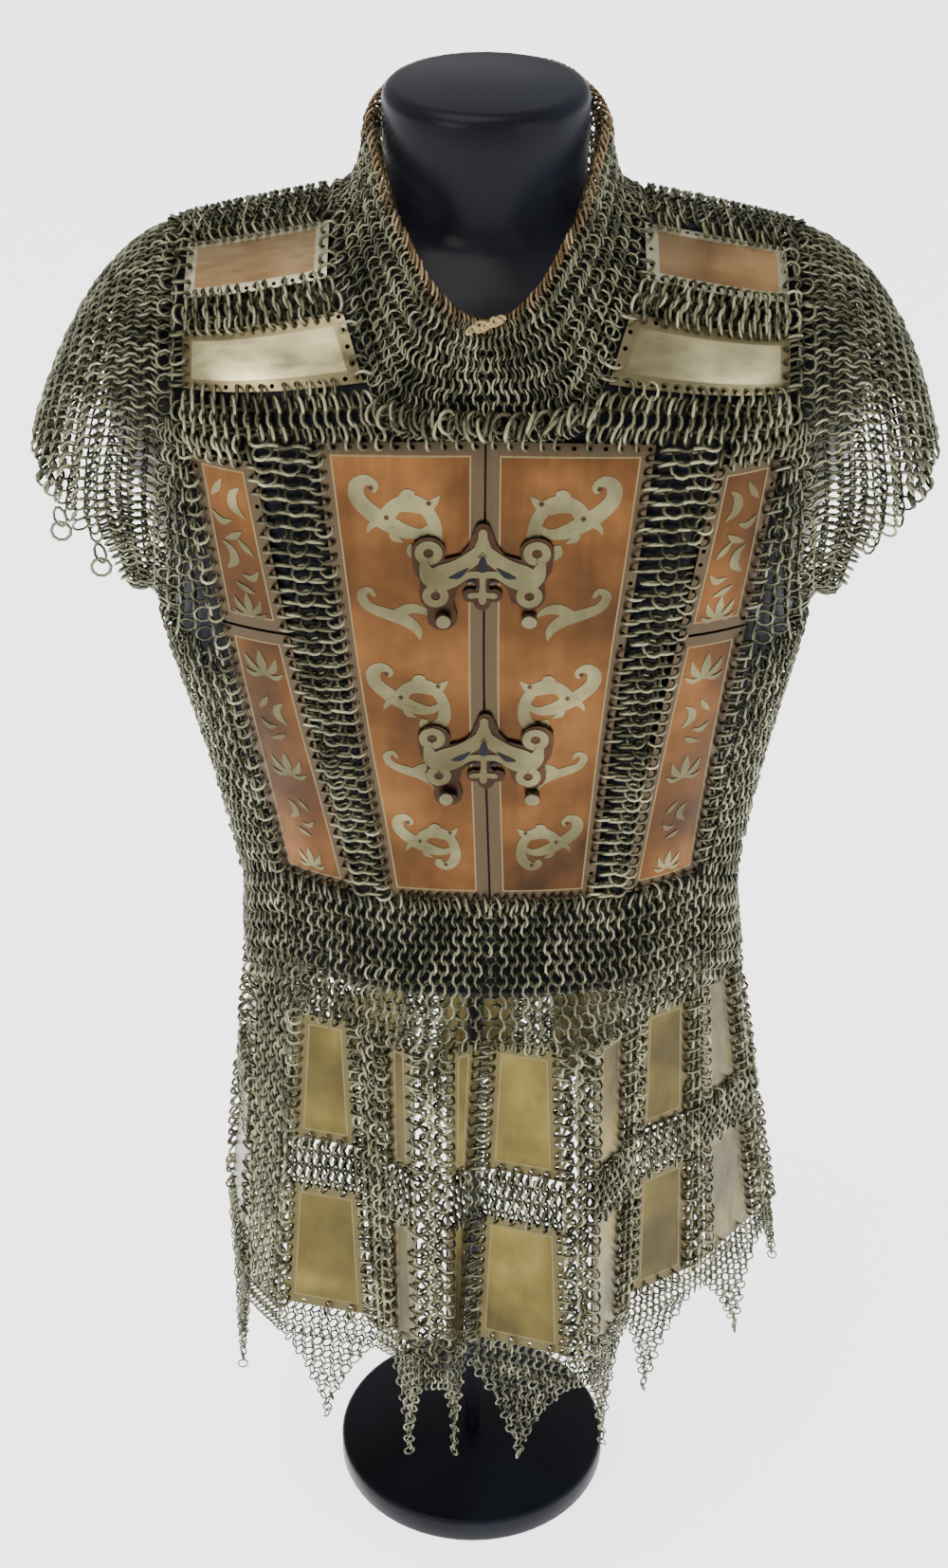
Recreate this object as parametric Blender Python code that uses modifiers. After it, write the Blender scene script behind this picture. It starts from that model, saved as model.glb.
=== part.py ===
"""Plate and mail armour shirt on a limbless dress form.

Metres, +Z up. The front faces -Y. The origin is the centre of the base's underside.
The coat is nets of mail, built as thin walls, with a metal plate in each window of a net.
Left and right are the sides as seen from the front.
"""
import math

import bmesh
import bpy
from mathutils import Matrix, Vector

# Stand
BASE_RADIUS = 0.0922
BASE_THICKNESS = 0.019
BASE_EDGE = 0.003
POLE_RADIUS = 0.0052
POLE_GAP = 0.0003

# Dress form
FORM_LIFT = -0.0036
FORM_HEIGHTS = (0.480, 0.510, 0.540, 0.575, 0.610, 0.650, 0.690, 0.725, 0.760, 0.790, 0.815, 0.830,
                0.850, 0.868, 0.884, 0.896, 0.906, 0.914, 0.920, 0.925, 0.930, 0.936, 0.943, 0.952,
                0.965, 0.980)
FORM_BOTTOM = 0.470
FORM_EDGE = 0.010
FORM_TURNS = 44
FORM_STRETCH = 1.7
NECK_TOP = 1.000
NECK_X = 0.002
NECK_RADIUS = 0.0563
NECK_WAIST = 0.0535
NECK_WAIST_HEIGHT = 0.930
NECK_EDGE = 0.0075
NECK_FOOT = 0.880
STUMP_CENTRE = (0.148, 0.826)
STUMP_SIZE = (0.064, 0.056, 0.080)
SHOULDER_END = 0.152
SHOULDER_END_RUN = 0.030
SHOULDER_END_FALL = 0.014
BLEND_POWER = 16
FAR = 9.0
LONGEST_RAY = 0.30
RAY_HALVINGS = 24

# Walls and gaps
MAIL_WALL = 0.0030
PLATE_WALL = 0.0014
SEAM = 0.0008
WINDOW_GAP = 0.0009

# Torso sections, from the skirt's seam up to the height where the shoulders curve over
TORSO = (
    # height, half_width, front_depth, back_depth, squareness, centre
    (0.452, 0.1500, 0.1120, 0.0980, 2.3, 0.009),
    (0.500, 0.1460, 0.1010, 0.0920, 2.3, 0.009),
    (0.540, 0.1475, 0.0960, 0.0900, 2.4, 0.008),
    (0.600, 0.1590, 0.0990, 0.0950, 2.5, 0.006),
    (0.660, 0.1745, 0.1060, 0.1060, 2.6, 0.004),
    (0.720, 0.1850, 0.1120, 0.1120, 2.8, 0.003),
    (0.780, 0.1890, 0.1160, 0.1160, 3.0, 0.003),
    (0.830, 0.1900, 0.1160, 0.1160, 3.0, 0.003),
)
WAIST_TOP = 0.5400
WAIST_ROWS = 4
SIDE_DROP = 0.0300
SINK_TOP = 0.6480
LINK = 0.8300
SHOULDER_ARC = 0.157
RIDGE = LINK + SHOULDER_ARC
RIDGE_NEAR = 0.081
RIDGE_NEAR_HEIGHT = 0.931
RIDGE_FALL = 0.19
SHOULDER_SAG = 0.012
SAG_START = 0.060

# Armhole
ARM_X = 0.170
ARM_BOTTOM = 0.702
ARM_BOTTOM_HALF = 0.020

# Front lines of the torso: distances from the centre line where a plate or a net ends
LINES = {
    # name: (height_low, x_low, height_high, x_high)
    "opening": (0.540, 0.0014, 0.8457, 0.0014),
    "breast_outer": (0.540, 0.0610, 0.8457, 0.0900),
    "side_inner": (0.540, 0.0780, 0.8457, 0.1240),
    "side_outer": (0.540, 0.1230, 0.8457, 0.1600),
}
FRONT_ROWS = (0.540, 0.575, 0.610, 0.648, 0.686, 0.702, 0.730, 0.765, 0.800, 0.830, 0.8457)
SIDE_FRONT_TOP = 0.830
SIDE_SPLIT = 0.724
SIDE_PLATE_TOP = 0.686
SIDE_PLATE_HALF = 0.020
BACK_STRIP_HALF = 0.010

# Shoulder rows, in unrolled height, and the line where the yoke meets the collar
YOKE_ROWS = (0.8460, 0.8735, 0.8930, 0.9130, 0.9310, 0.9520, 0.9730, 0.9870)
YOKE_INNER = (
    # unrolled_height, x
    (0.8460, 0.0520),
    (0.8735, 0.0625),
    (0.9130, 0.0745),
    (0.9310, 0.0830),
    (0.9870, 0.0830),
)
YOKE_BACK_LEVEL = 0.9130
SHOULDER_PLATE_OUTER = 0.1610

# Collar: its foot on the coat and its free edge, from the centre front to the centre back
COLLAR = (
    # station, foot_x, foot_turn, edge_x, edge_y, edge_z, hug
    (0, 0.0000, 9.9, 0.0000, -0.098, 0.904, 0.00),
    (1, 0.0300, 9.9, 0.0140, -0.096, 0.908, 0.00),
    (2, 0.0490, 12.0, 0.0290, -0.088, 0.921, 0.10),
    (3, 0.0590, 24.0, 0.0390, -0.076, 0.936, 0.30),
    (4, 0.0685, 41.0, 0.0480, -0.062, 0.950, 0.60),
    (5, 0.0805, 60.0, 0.0570, -0.030, 0.968, 0.90),
    (6, 0.0810, 90.0, 0.0605, 0.000, 0.983, 1.00),
    (7, 0.0810, 114.0, 0.0480, 0.040, 0.987, 1.00),
    (8, 0.0700, 130.0, 0.0300, 0.057, 0.990, 0.90),
    (9, 0.0000, 130.0, 0.0000, 0.064, 0.990, 0.80),
)
COLLAR_HUG = 0.7
COLLAR_STEPS = 26
COLLAR_ROWS = 4

# Sleeve: from the top of the armhole to the bottom, a bend point and a cuff point
SLEEVE = (
    # share, bend_x, bend_y, bend_z, cuff_x, cuff_y, cuff_z
    (0.00, 0.222, 0.000, 0.904, 0.249, 0.000, 0.806),
    (0.20, 0.220, 0.036, 0.892, 0.248, 0.034, 0.803),
    (0.40, 0.213, 0.066, 0.865, 0.241, 0.058, 0.793),
    (0.58, 0.203, 0.078, 0.825, 0.228, 0.068, 0.779),
    (0.76, 0.192, 0.074, 0.777, 0.208, 0.066, 0.757),
    (0.90, 0.190, 0.048, 0.732, 0.198, 0.046, 0.726),
    (1.00, 0.193, 0.000, 0.703, 0.200, 0.000, 0.697),
)
SLEEVE_TUCK = {"left": 0.008, "right": 0.0}
SLEEVE_ROWS = 6
SLEEVE_SEAM = 0.0029

# Skirt posts, from the front opening round by the right, the back and the left: the two
# edges of each plate in turn, at the waist seam and at the lower plates' bottom edge
SKIRT = (
    # x_top, y_top, x_hem, y_hem
    (0.008, -0.1130, -0.001, -0.1240),
    (0.051, -0.1230, 0.061, -0.1430),
    (0.070, -0.1170, 0.074, -0.1400),
    (0.092, -0.0950, 0.093, -0.1040),
    (0.099, -0.0840, 0.100, -0.0860),
    (0.132, -0.0640, 0.141, -0.0600),
    (0.138, -0.0560, 0.152, -0.0500),
    (0.157, -0.0300, 0.188, -0.0060),
    (0.160, -0.0140, 0.198, 0.0120),
    (0.157, 0.0290, 0.194, 0.0680),
    (0.150, 0.0430, 0.183, 0.0840),
    (0.112, 0.0790, 0.130, 0.1180),
    (0.095, 0.0870, 0.112, 0.1290),
    (0.048, 0.0990, 0.052, 0.1440),
    (0.030, 0.0970, 0.034, 0.1360),
    (-0.020, 0.0970, -0.030, 0.1380),
    (-0.038, 0.0980, -0.048, 0.1430),
    (-0.082, 0.0840, -0.100, 0.1180),
    (-0.097, 0.0760, -0.116, 0.1040),
    (-0.131, 0.0430, -0.156, 0.0560),
    (-0.140, 0.0280, -0.164, 0.0360),
    (-0.134, -0.0410, -0.147, -0.0620),
    (-0.108, -0.0850, -0.124, -0.0930),
    (-0.073, -0.0950, -0.064, -0.1070),
    (-0.055, -0.1080, -0.051, -0.1170),
    (-0.036, -0.1210, -0.033, -0.1450),
    (-0.018, -0.1220, -0.017, -0.1440),
    (0.004, -0.1130, -0.006, -0.1270),
)
SKIRT_TOP = 0.4520
UPPER_PLATE_BOTTOM = 0.3570
LOWER_PLATE_TOP = 0.3230
LOWER_PLATE_BOTTOM = 0.2240
SKIRT_GAP = 0.0013
HEM_NOTCH = 0.2000
HEM_TIPS = {4: 0.30, 20: 0.90, 26: 0.75}
HEM_POINTS = (0.0, 0.022, 0.064, 0.022, 0.0)

# Clasps: a hooked plate in the outline's own millimetres, its pivot pin and the stud it hooks
CLASP_HEIGHTS = {"upper": 0.7750, "lower": 0.6525}
CLASP_SHIFT = {"upper": -0.0010, "lower": 0.0005}
CLASP_WALL = 0.0014
CLASP_GAP = 0.0006
STUD_GAP = 0.0004
PIN_RADIUS = 0.0043
PIN_HEIGHT = 0.0045
PIN_PLACE = (-0.0210, -0.0325)
STUD_PLACE = (0.0255, -0.0335)


def clear_scene():
    for old in list(bpy.data.objects):
        bpy.data.objects.remove(old, do_unlink=True)


def material(name, colour, roughness, metallic):
    made = bpy.data.materials.new(name)
    made.use_nodes = True
    shader = made.node_tree.nodes["Principled BSDF"]
    shader.inputs["Base Color"].default_value = (*colour, 1.0)
    shader.inputs["Roughness"].default_value = roughness
    shader.inputs["Metallic"].default_value = metallic
    made.diffuse_color = (*colour, 1.0)
    return made


def smooth_row(table, key):
    """Row of a table at a value of its first column, on a smooth curve through the rows."""
    last = len(table) - 2
    at = 0
    while at < last and key > table[at + 1][0]:
        at += 1
    low, high = table[at], table[at + 1]
    before = table[max(at - 1, 0)]
    after = table[min(at + 2, len(table) - 1)]
    span = high[0] - low[0]
    t = min(max((key - low[0]) / span, 0.0), 1.0)
    row = []
    for column in range(len(low)):
        start, end = low[column], high[column]
        slope_low = (end - before[column]) / (high[0] - before[0]) * span
        slope_high = (after[column] - start) / (after[0] - low[0]) * span
        t2, t3 = t * t, t * t * t
        row.append((2 * t3 - 3 * t2 + 1) * start + (t3 - 2 * t2 + t) * slope_low
                   + (3 * t2 - 2 * t3) * end + (t3 - t2) * slope_high)
    return row


def section(z, lift):
    """Half width, front depth, back depth, squareness and centre of the torso at a height."""
    _, half, front, back, power, centre = smooth_row(TORSO, min(max(z, TORSO[0][0]), LINK))
    return half + lift, front + lift, back + lift, power, centre


def quarter_point(share, front, z, lift):
    """Point of a quarter of the torso's section, from its middle line (0) to the side (1)."""
    half, depth_front, depth_back, power, centre = section(z, lift)
    angle = math.radians(90 * share * share * (3 - 2 * share))
    x = math.sin(angle) ** (2 / power) * half
    y = max(math.cos(angle), 0.0) ** (2 / power)
    return x, (-y * depth_front if front else y * depth_back)


GIRTH_STEPS = 60
girth_tables = {}


def girth_table(z):
    """Running girth, x and y along the front and the back quarter of the section at z."""
    key = round(z, 5)
    if key not in girth_tables:
        tables = []
        for front in (True, False):
            points = [quarter_point(i / GIRTH_STEPS, front, z, 0.0) for i in range(GIRTH_STEPS + 1)]
            girth = [0.0]
            for a, b in zip(points, points[1:]):
                girth.append(girth[-1] + math.hypot(b[0] - a[0], b[1] - a[1]))
            tables.append((girth, points))
        girth_tables[key] = tables
    return girth_tables[key]


def look_up(keys, values, key):
    """Value at a key, on straight lines between rising keys."""
    at = 0
    while at < len(keys) - 2 and key > keys[at + 1]:
        at += 1
    t = min(max((key - keys[at]) / (keys[at + 1] - keys[at]), 0.0), 1.0)
    return values[at] + (values[at + 1] - values[at]) * t


def half_girth(z):
    (front, _), (back, _) = girth_table(z)
    return front[-1] + back[-1]


def girth_at_x(x, z):
    """Girth from the centre front to the point of the front quarter at x."""
    girth, points = girth_table(z)[0]
    return look_up([p[0] for p in points], girth, x)


def girth_at_y(y, z):
    """Girth from the centre front to the point of the front quarter that lies y before the side."""
    girth, points = girth_table(z)[0]
    return look_up([p[1] for p in points], girth, -y)


def loop_xy(girth, z):
    front, back = girth_table(z)
    if girth <= front[0][-1]:
        keys, points = front
        key = girth
    else:
        keys, points = back
        key = half_girth(z) - girth
    return look_up(keys, [p[0] for p in points], key), look_up(keys, [p[1] for p in points], key)


def ridge_height(x):
    return RIDGE_NEAR_HEIGHT - (abs(x) - RIDGE_NEAR) * RIDGE_FALL


def shoulder_point(side, x, turn, lift=0.0):
    """Point of the shoulder's arch at x from the centre: turn 0 front, 90 ridge, 180 back."""
    half, front, back, power, centre = section(LINK, lift)
    reach = (1 - min(x / half, 1.0) ** power) ** (1 / power)
    angle = math.radians(turn)
    depth = front if turn < 90 else back
    rise = ridge_height(x) + lift - LINK
    y = -depth * reach * math.cos(angle)
    return Vector((centre + side * x, y, LINK + rise * math.sin(angle)))


def coat_point(side, girth, h):
    """Point of the coat: side 1 right or -1 left, girth from the centre front, unrolled height."""
    if h <= LINK:
        x, y = loop_xy(girth, h)
        return Vector((section(h, 0.0)[4] + side * x, y, h - side_drop(girth, h)))
    x, y = loop_xy(girth, LINK)
    turn = (h - LINK) / SHOULDER_ARC * 90
    sag = SHOULDER_SAG * (x - SAG_START) / (ARM_X - SAG_START)
    turn -= max(sag, 0.0) * math.sin(math.radians(2 * turn)) / SHOULDER_ARC * 90
    return shoulder_point(side, x, turn if y < 0 else 180 - turn)


def side_drop(girth, h):
    """How far the waist seam and what is near it hang lower at the sides."""
    if h >= SINK_TOP:
        return 0.0
    girth = min(girth, half_girth(h) - girth)
    start, end = line("side_outer")(h), side_line(h)
    share = min(max((girth - start) / (end - start), 0.0), 1.0)
    return SIDE_DROP * share * (SINK_TOP - h) / (SINK_TOP - WAIST_TOP)


def line(name):
    """Girth of a named front line at a height."""
    low, x_low, high, x_high = LINES[name]
    return lambda h: girth_at_x(x_low + (x_high - x_low) * (h - low) / (high - low), min(h, LINK))


def straight(x):
    return lambda h: girth_at_x(x, min(h, LINK))


def arm_line(h):
    """Girth of the armhole's edge: straight over the shoulder, rounded under the arm."""
    if h >= LINK:
        return girth_at_x(ARM_X, LINK)
    top = -loop_xy(girth_at_x(ARM_X, LINK), LINK)[1]
    fall = (LINK - h) / (LINK - ARM_BOTTOM)
    y = ARM_BOTTOM_HALF + (top - ARM_BOTTOM_HALF) * math.sqrt(max(1 - fall * fall, 0.0))
    return girth_at_y(y, h)


def side_line(h):
    """Girth of the side plate's front edge."""
    return girth_at_y(SIDE_PLATE_HALF, h)


def behind(front_line):
    """The same line on the back, as far from the centre back as it is from the centre front."""
    return lambda h: half_girth(min(h, LINK)) - front_line(h)


def moved(a_line, distance):
    return lambda h: a_line(h) + distance


def spread(start, end, count):
    """Evenly spaced values from start to end, in count steps."""
    return [start + (end - start) * i / count for i in range(count + 1)]


def coat_grid(side, start, end, rows, across):
    """Rows of points of the coat between two lines."""
    grid = []
    for h in rows:
        grid.append([coat_point(side, g, h) for g in spread(start(h), end(h), across)])
    return grid


def between(rows, low, high):
    return [h for h in rows if low - 1e-6 <= h <= high + 1e-6]


def wall(name, grids, thickness, finish, group):
    """One wall from grids of points, welded where they share an edge."""
    shape = bmesh.new()
    for grid in grids:
        rows = [[shape.verts.new(point) for point in row] for row in grid]
        for low, high in zip(rows, rows[1:]):
            for i in range(len(low) - 1):
                shape.faces.new((low[i], low[i + 1], high[i + 1], high[i]))
    bmesh.ops.remove_doubles(shape, verts=shape.verts, dist=0.00012)
    bmesh.ops.recalc_face_normals(shape, faces=shape.faces)
    mesh = bpy.data.meshes.new(name)
    shape.to_mesh(mesh)
    shape.free()
    mesh.materials.append(finish)
    made = bpy.data.objects.new(name, mesh)
    group.objects.link(made)
    solid = made.modifiers.new("thickness", "SOLIDIFY")
    solid.thickness = thickness
    solid.offset = 0.0
    return made


def seam_rows(rows):
    """The rows, with the first and the last moved in by half a seam."""
    return [rows[0] + SEAM / 2] + list(rows[1:-1]) + [rows[-1] - SEAM / 2]


def front_mail(side, label, finish, group):
    """Net beside a breast plate: two strips, and the mail round the side plate."""
    rows = seam_rows(FRONT_ROWS)
    breast, inner, outer = line("breast_outer"), line("side_inner"), line("side_outer")
    rear = behind(side_line)
    grids = [
        coat_grid(side, breast, inner, rows, 1),
        coat_grid(side, inner, outer, between(rows, SIDE_FRONT_TOP, 1.0), 2),
        coat_grid(side, outer, arm_line, between(rows, ARM_BOTTOM, 1.0), 2),
        coat_grid(side, outer, side_line, between(rows, 0.0, ARM_BOTTOM), 2),
        coat_grid(side, side_line, rear, between(rows, SIDE_PLATE_TOP, ARM_BOTTOM), 2),
    ]
    return wall("front_mail_" + label, grids, MAIL_WALL, finish, group)


def back_mail(finish, group):
    """Net of the back: a middle strip, and the mail from each back plate to the armhole."""
    rows = seam_rows(FRONT_ROWS)
    inner = behind(straight(BACK_STRIP_HALF))
    outer, flank = behind(line("side_inner")), behind(line("side_outer"))
    rear, arm_rear = behind(moved(side_line, -SEAM)), behind(moved(arm_line, -SEAM))
    grids = []
    for side in (1, -1):
        grids += [
            coat_grid(side, half_girth_line, inner, rows, 1),
            coat_grid(side, inner, outer, between(rows, SIDE_FRONT_TOP, 1.0), 3),
            coat_grid(side, outer, flank, rows, 2),
            coat_grid(side, flank, arm_rear, between(rows, ARM_BOTTOM, 1.0), 3),
            coat_grid(side, flank, rear, between(rows, 0.0, ARM_BOTTOM), 3),
        ]
    return wall("back_mail", grids, MAIL_WALL, finish, group)


def half_girth_line(h):
    return half_girth(min(h, LINK))


def yoke_line(h):
    """Girth of the yoke's edge along the collar."""
    heights = [row[0] for row in YOKE_INNER]
    return girth_at_x(look_up(heights, [row[1] for row in YOKE_INNER], h), LINK)


def yoke_mail(side, label, finish, group):
    """Net over a shoulder, with two windows in front, and plain behind."""
    rows = seam_rows(YOKE_ROWS)
    rows[-1] = RIDGE
    outer = straight(SHOULDER_PLATE_OUTER)
    middle = moved(half_girth_line, -SEAM / 2)
    high = between(rows, YOKE_BACK_LEVEL, 1.0)
    low = between(rows, 0.0, YOKE_BACK_LEVEL)
    high_rear = behind(straight(YOKE_INNER[-1][1]))
    grids = [
        coat_grid(side, outer, arm_line, rows, 1),
        coat_grid(side, behind(outer), behind(arm_line), rows, 1),
        coat_grid(side, high_rear, behind(outer), rows, 3),
        coat_grid(side, middle, high_rear, low, 3),
    ]
    for first, last in ((0, 1), (3, 4), (6, 7)):
        grids.append(coat_grid(side, yoke_line, outer, rows[first:last + 1], 3))
    return wall("yoke_mail_" + label, grids, MAIL_WALL, finish, group)


def coat_plate(name, side, lines, heights, cells, finish, group):
    """Plate that fills a window of the coat, just clear of the net all round."""
    start, end = lines
    across, up = cells
    rows = spread(heights[0] + WINDOW_GAP, heights[1] - WINDOW_GAP, up)
    grid = coat_grid(side, moved(start, WINDOW_GAP), moved(end, -WINDOW_GAP), rows, across)
    return wall(name, [grid], PLATE_WALL, finish, group)


def torso_plates(side, label, finishes, group):
    copper, nickel, pale = finishes
    opening, breast = line("opening"), line("breast_outer")
    inner, outer = line("side_inner"), line("side_outer")
    low, high = FRONT_ROWS[0] + SEAM, FRONT_ROWS[-1]
    coat_plate("breast_plate_" + label, side, (opening, breast), (low, high), (4, 8), copper, group)
    coat_plate("side_front_lower_plate_" + label, side, (inner, outer), (low, SIDE_SPLIT),
               (3, 4), copper, group)
    coat_plate("side_front_upper_plate_" + label, side, (inner, outer), (SIDE_SPLIT, SIDE_FRONT_TOP),
               (3, 3), copper, group)
    coat_plate("side_plate_" + label, side, (side_line, behind(side_line)), (low, SIDE_PLATE_TOP),
               (3, 4), pale, group)
    rear = (behind(line("side_inner")), behind(straight(BACK_STRIP_HALF)))
    coat_plate("back_plate_" + label, side, rear, (low, SIDE_FRONT_TOP), (4, 8), copper, group)
    shoulder = (yoke_line, straight(SHOULDER_PLATE_OUTER))
    coat_plate("shoulder_lower_plate_" + label, side, shoulder, (YOKE_ROWS[1], YOKE_ROWS[3]),
               (4, 3), nickel, group)
    coat_plate("shoulder_upper_plate_" + label, side, shoulder, (YOKE_ROWS[4], YOKE_ROWS[6]),
               (4, 3), nickel, group)


def armhole(side):
    """Points of the armhole from the ridge down the front, and the share of each."""
    heights = [RIDGE] + list(reversed(YOKE_ROWS[:-1])) + list(reversed(FRONT_ROWS[5:-1]))
    points = [coat_point(side, arm_line(h), h) for h in heights]
    bottom = coat_point(side, half_front(ARM_BOTTOM), ARM_BOTTOM)
    points.append(bottom)
    run = [0.0]
    for a, b in zip(points, points[1:]):
        run.append(run[-1] + (b - a).length)
    return points, [r / run[-1] for r in run]


def half_front(h):
    """Girth from the centre front to the side."""
    return girth_table(h)[0][0][-1]


def sleeve_mail(side, label, finish, group):
    """Cap sleeve: a bent tube from the armhole out to the cuff."""
    points, shares = armhole(side)
    centre = TORSO[-1][5]
    loops = []
    for point, share in zip(points, shares):
        _, bend_x, bend_y, bend_z, cuff_x, cuff_y, cuff_z = smooth_row(SLEEVE, share)
        tuck = SLEEVE_TUCK[label] * (1 - share) ** 2
        bend = Vector((centre + side * (bend_x - tuck), -bend_y, bend_z))
        cuff = Vector((centre + side * cuff_x, -cuff_y, cuff_z))
        start = point + (bend - point).normalized() * SLEEVE_SEAM
        run = []
        for t in spread(0, 1, SLEEVE_ROWS):
            run.append(start * (1 - t) ** 2 + bend * (2 * t * (1 - t)) + cuff * (t * t))
        loops.append(run)
    rear = [[Vector((p.x, -p.y, p.z)) for p in run] for run in loops]
    return wall("sleeve_mail_" + label, [loops, rear], MAIL_WALL, finish, group)


def collar_mail(finish, group):
    """Standing band round the neck, open in a V in front."""
    centre = TORSO[-1][5]
    grids = []
    for side in (1, -1):
        grid = []
        for station in spread(0, COLLAR[-1][0], COLLAR_STEPS):
            _, foot_x, foot_turn, edge_x, edge_y, edge_z, hug = smooth_row(COLLAR, station)
            foot = shoulder_point(side, foot_x, foot_turn)
            edge = Vector((centre + side * edge_x, edge_y, edge_z))
            bend = foot.lerp(edge, 0.5)
            bend += (Vector((edge.x, edge.y, foot.z)) - bend) * (hug * COLLAR_HUG)
            run = []
            for t in spread(0, 1, COLLAR_ROWS):
                run.append(foot * (1 - t) ** 2 + bend * (2 * t * (1 - t)) + edge * (t * t))
            grid.append(run)
        grids.append(grid)
    return wall("collar_mail", grids, MAIL_WALL, finish, group)


def post_point(post, z):
    """Point of a skirt post, which may lie between two rows of the table, at a height."""
    first = min(int(post), len(SKIRT) - 2)
    share = post - first
    x_top, y_top, x_hem, y_hem = [a + (b - a) * share
                                  for a, b in zip(SKIRT[first], SKIRT[first + 1])]
    fall = (SKIRT_TOP - z) / (SKIRT_TOP - LOWER_PLATE_BOTTOM)
    return Vector((x_top + (x_hem - x_top) * fall, y_top + (y_hem - y_top) * fall, z))


def skirt_grid(posts, heights):
    return [[post_point(post, z) for post in posts] for z in heights]


def skirt_mail(finish, group):
    """Net of the skirt: a strip between plates, a belt between their rows, and the dagged hem."""
    top = SKIRT_TOP - SEAM / 2
    high = [UPPER_PLATE_BOTTOM, LOWER_PLATE_TOP]
    grids = []
    for post in range(len(SKIRT) - 1):
        if post % 2:
            ends = [post, post + 1]
            heights = [top, (top + high[0]) / 2] + high
            heights += [(high[1] + LOWER_PLATE_BOTTOM) / 2, LOWER_PLATE_BOTTOM, HEM_NOTCH]
            grids.append(skirt_grid(ends, heights))
            continue
        tip = HEM_TIPS.get(post, 0.5)
        places = [post + q for q in (0.0, tip / 2, tip, (1 + tip) / 2, 1.0)]
        grids.append(skirt_grid(places, high))
        hem = [post_point(place, LOWER_PLATE_BOTTOM) for place in places]
        points = [post_point(p, HEM_NOTCH - drop) for p, drop in zip(places, HEM_POINTS)]
        grids.append([hem, points])
    return wall("skirt_mail", grids, MAIL_WALL, finish, group)


def skirt_plates(finish, group):
    """Two rows of plates, one between each pair of posts."""
    bands = {
        "upper": (UPPER_PLATE_BOTTOM + WINDOW_GAP, SKIRT_TOP - WINDOW_GAP),
        "lower": (LOWER_PLATE_BOTTOM + WINDOW_GAP, LOWER_PLATE_TOP - WINDOW_GAP),
    }
    for number, post in enumerate(range(0, len(SKIRT) - 1, 2)):
        width = (post_point(post + 1, SKIRT_TOP) - post_point(post, SKIRT_TOP)).length
        edge = SKIRT_GAP / width
        posts = spread(post + edge, post + 1 - edge, 2)
        for band, (low, high) in bands.items():
            name = "skirt_%s_plate_%02d" % (band, number + 1)
            wall(name, [skirt_grid(posts, spread(low, high, 2))], PLATE_WALL, finish, group)


def seam_ring(point):
    """Where the skirt's top edge passes, in the direction of a point from the middle."""
    centre = Vector((TORSO[0][5], 0.0))
    ray = Vector((point.x, point.y)) - centre
    for a, b in zip(SKIRT, SKIRT[1:] + SKIRT[:1]):
        start, end = Vector(a[:2]) - centre, Vector(b[:2]) - centre
        along = end - start
        cross = ray.cross(along)
        if abs(cross) < 1e-9:
            continue
        scale = start.cross(along) / cross
        place = start.cross(ray) / cross
        if scale > 0 and -1e-6 <= place <= 1 + 1e-6:
            return Vector((centre.x + ray.x * scale, centre.y + ray.y * scale, SKIRT_TOP))
    return None


def waist_girths():
    """Where the nets and plates above the waist seam have their corners."""
    low = WAIST_TOP
    marks = [line("opening")(low), line("breast_outer")(low), line("side_inner")(low),
             line("side_outer")(low), side_line(low), behind(side_line)(low),
             behind(line("side_outer"))(low), behind(line("side_inner"))(low), half_girth(low)]
    counts = (4, 1, 3, 2, 2, 3, 2, 5)
    girths = [marks[0]]
    for start, end, count in zip(marks, marks[1:], counts):
        girths += spread(start, end, count)[1:]
    return girths


def waist_mail(finish, group):
    """Belt of mail below the plates, open in front; it flutes towards the skirt."""
    grids = []
    for side in (1, -1):
        top = [coat_point(side, g, WAIST_TOP) for g in waist_girths()]
        bottom = [seam_ring(point) for point in top]
        bottom[0] = Vector(post_point(0 if side > 0 else len(SKIRT) - 1, SKIRT_TOP))
        grid = []
        for t in spread(0, 1, WAIST_ROWS):
            row = []
            for high, low in zip(top, bottom):
                start, end = high.z - SEAM / 2, SKIRT_TOP + SEAM / 2
                z = start + (end - start) * t
                inner, outer = section(WAIST_TOP, 0.0), section(z, 0.0)
                hang = (high - Vector((inner[4], 0, 0)))
                hang.x = hang.x * outer[0] / inner[0] + outer[4]
                hang.y = hang.y * (outer[1] / inner[1] if high.y < 0 else outer[2] / inner[2])
                flute = Vector((low.x, low.y, 0)) - Vector((hang.x, hang.y, 0))
                row.append(Vector((hang.x, hang.y, z)) + flute * (t * t * t))
            grid.append(row)
        grids.append(grid)
    return wall("waist_mail", grids, MAIL_WALL, finish, group)


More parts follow.
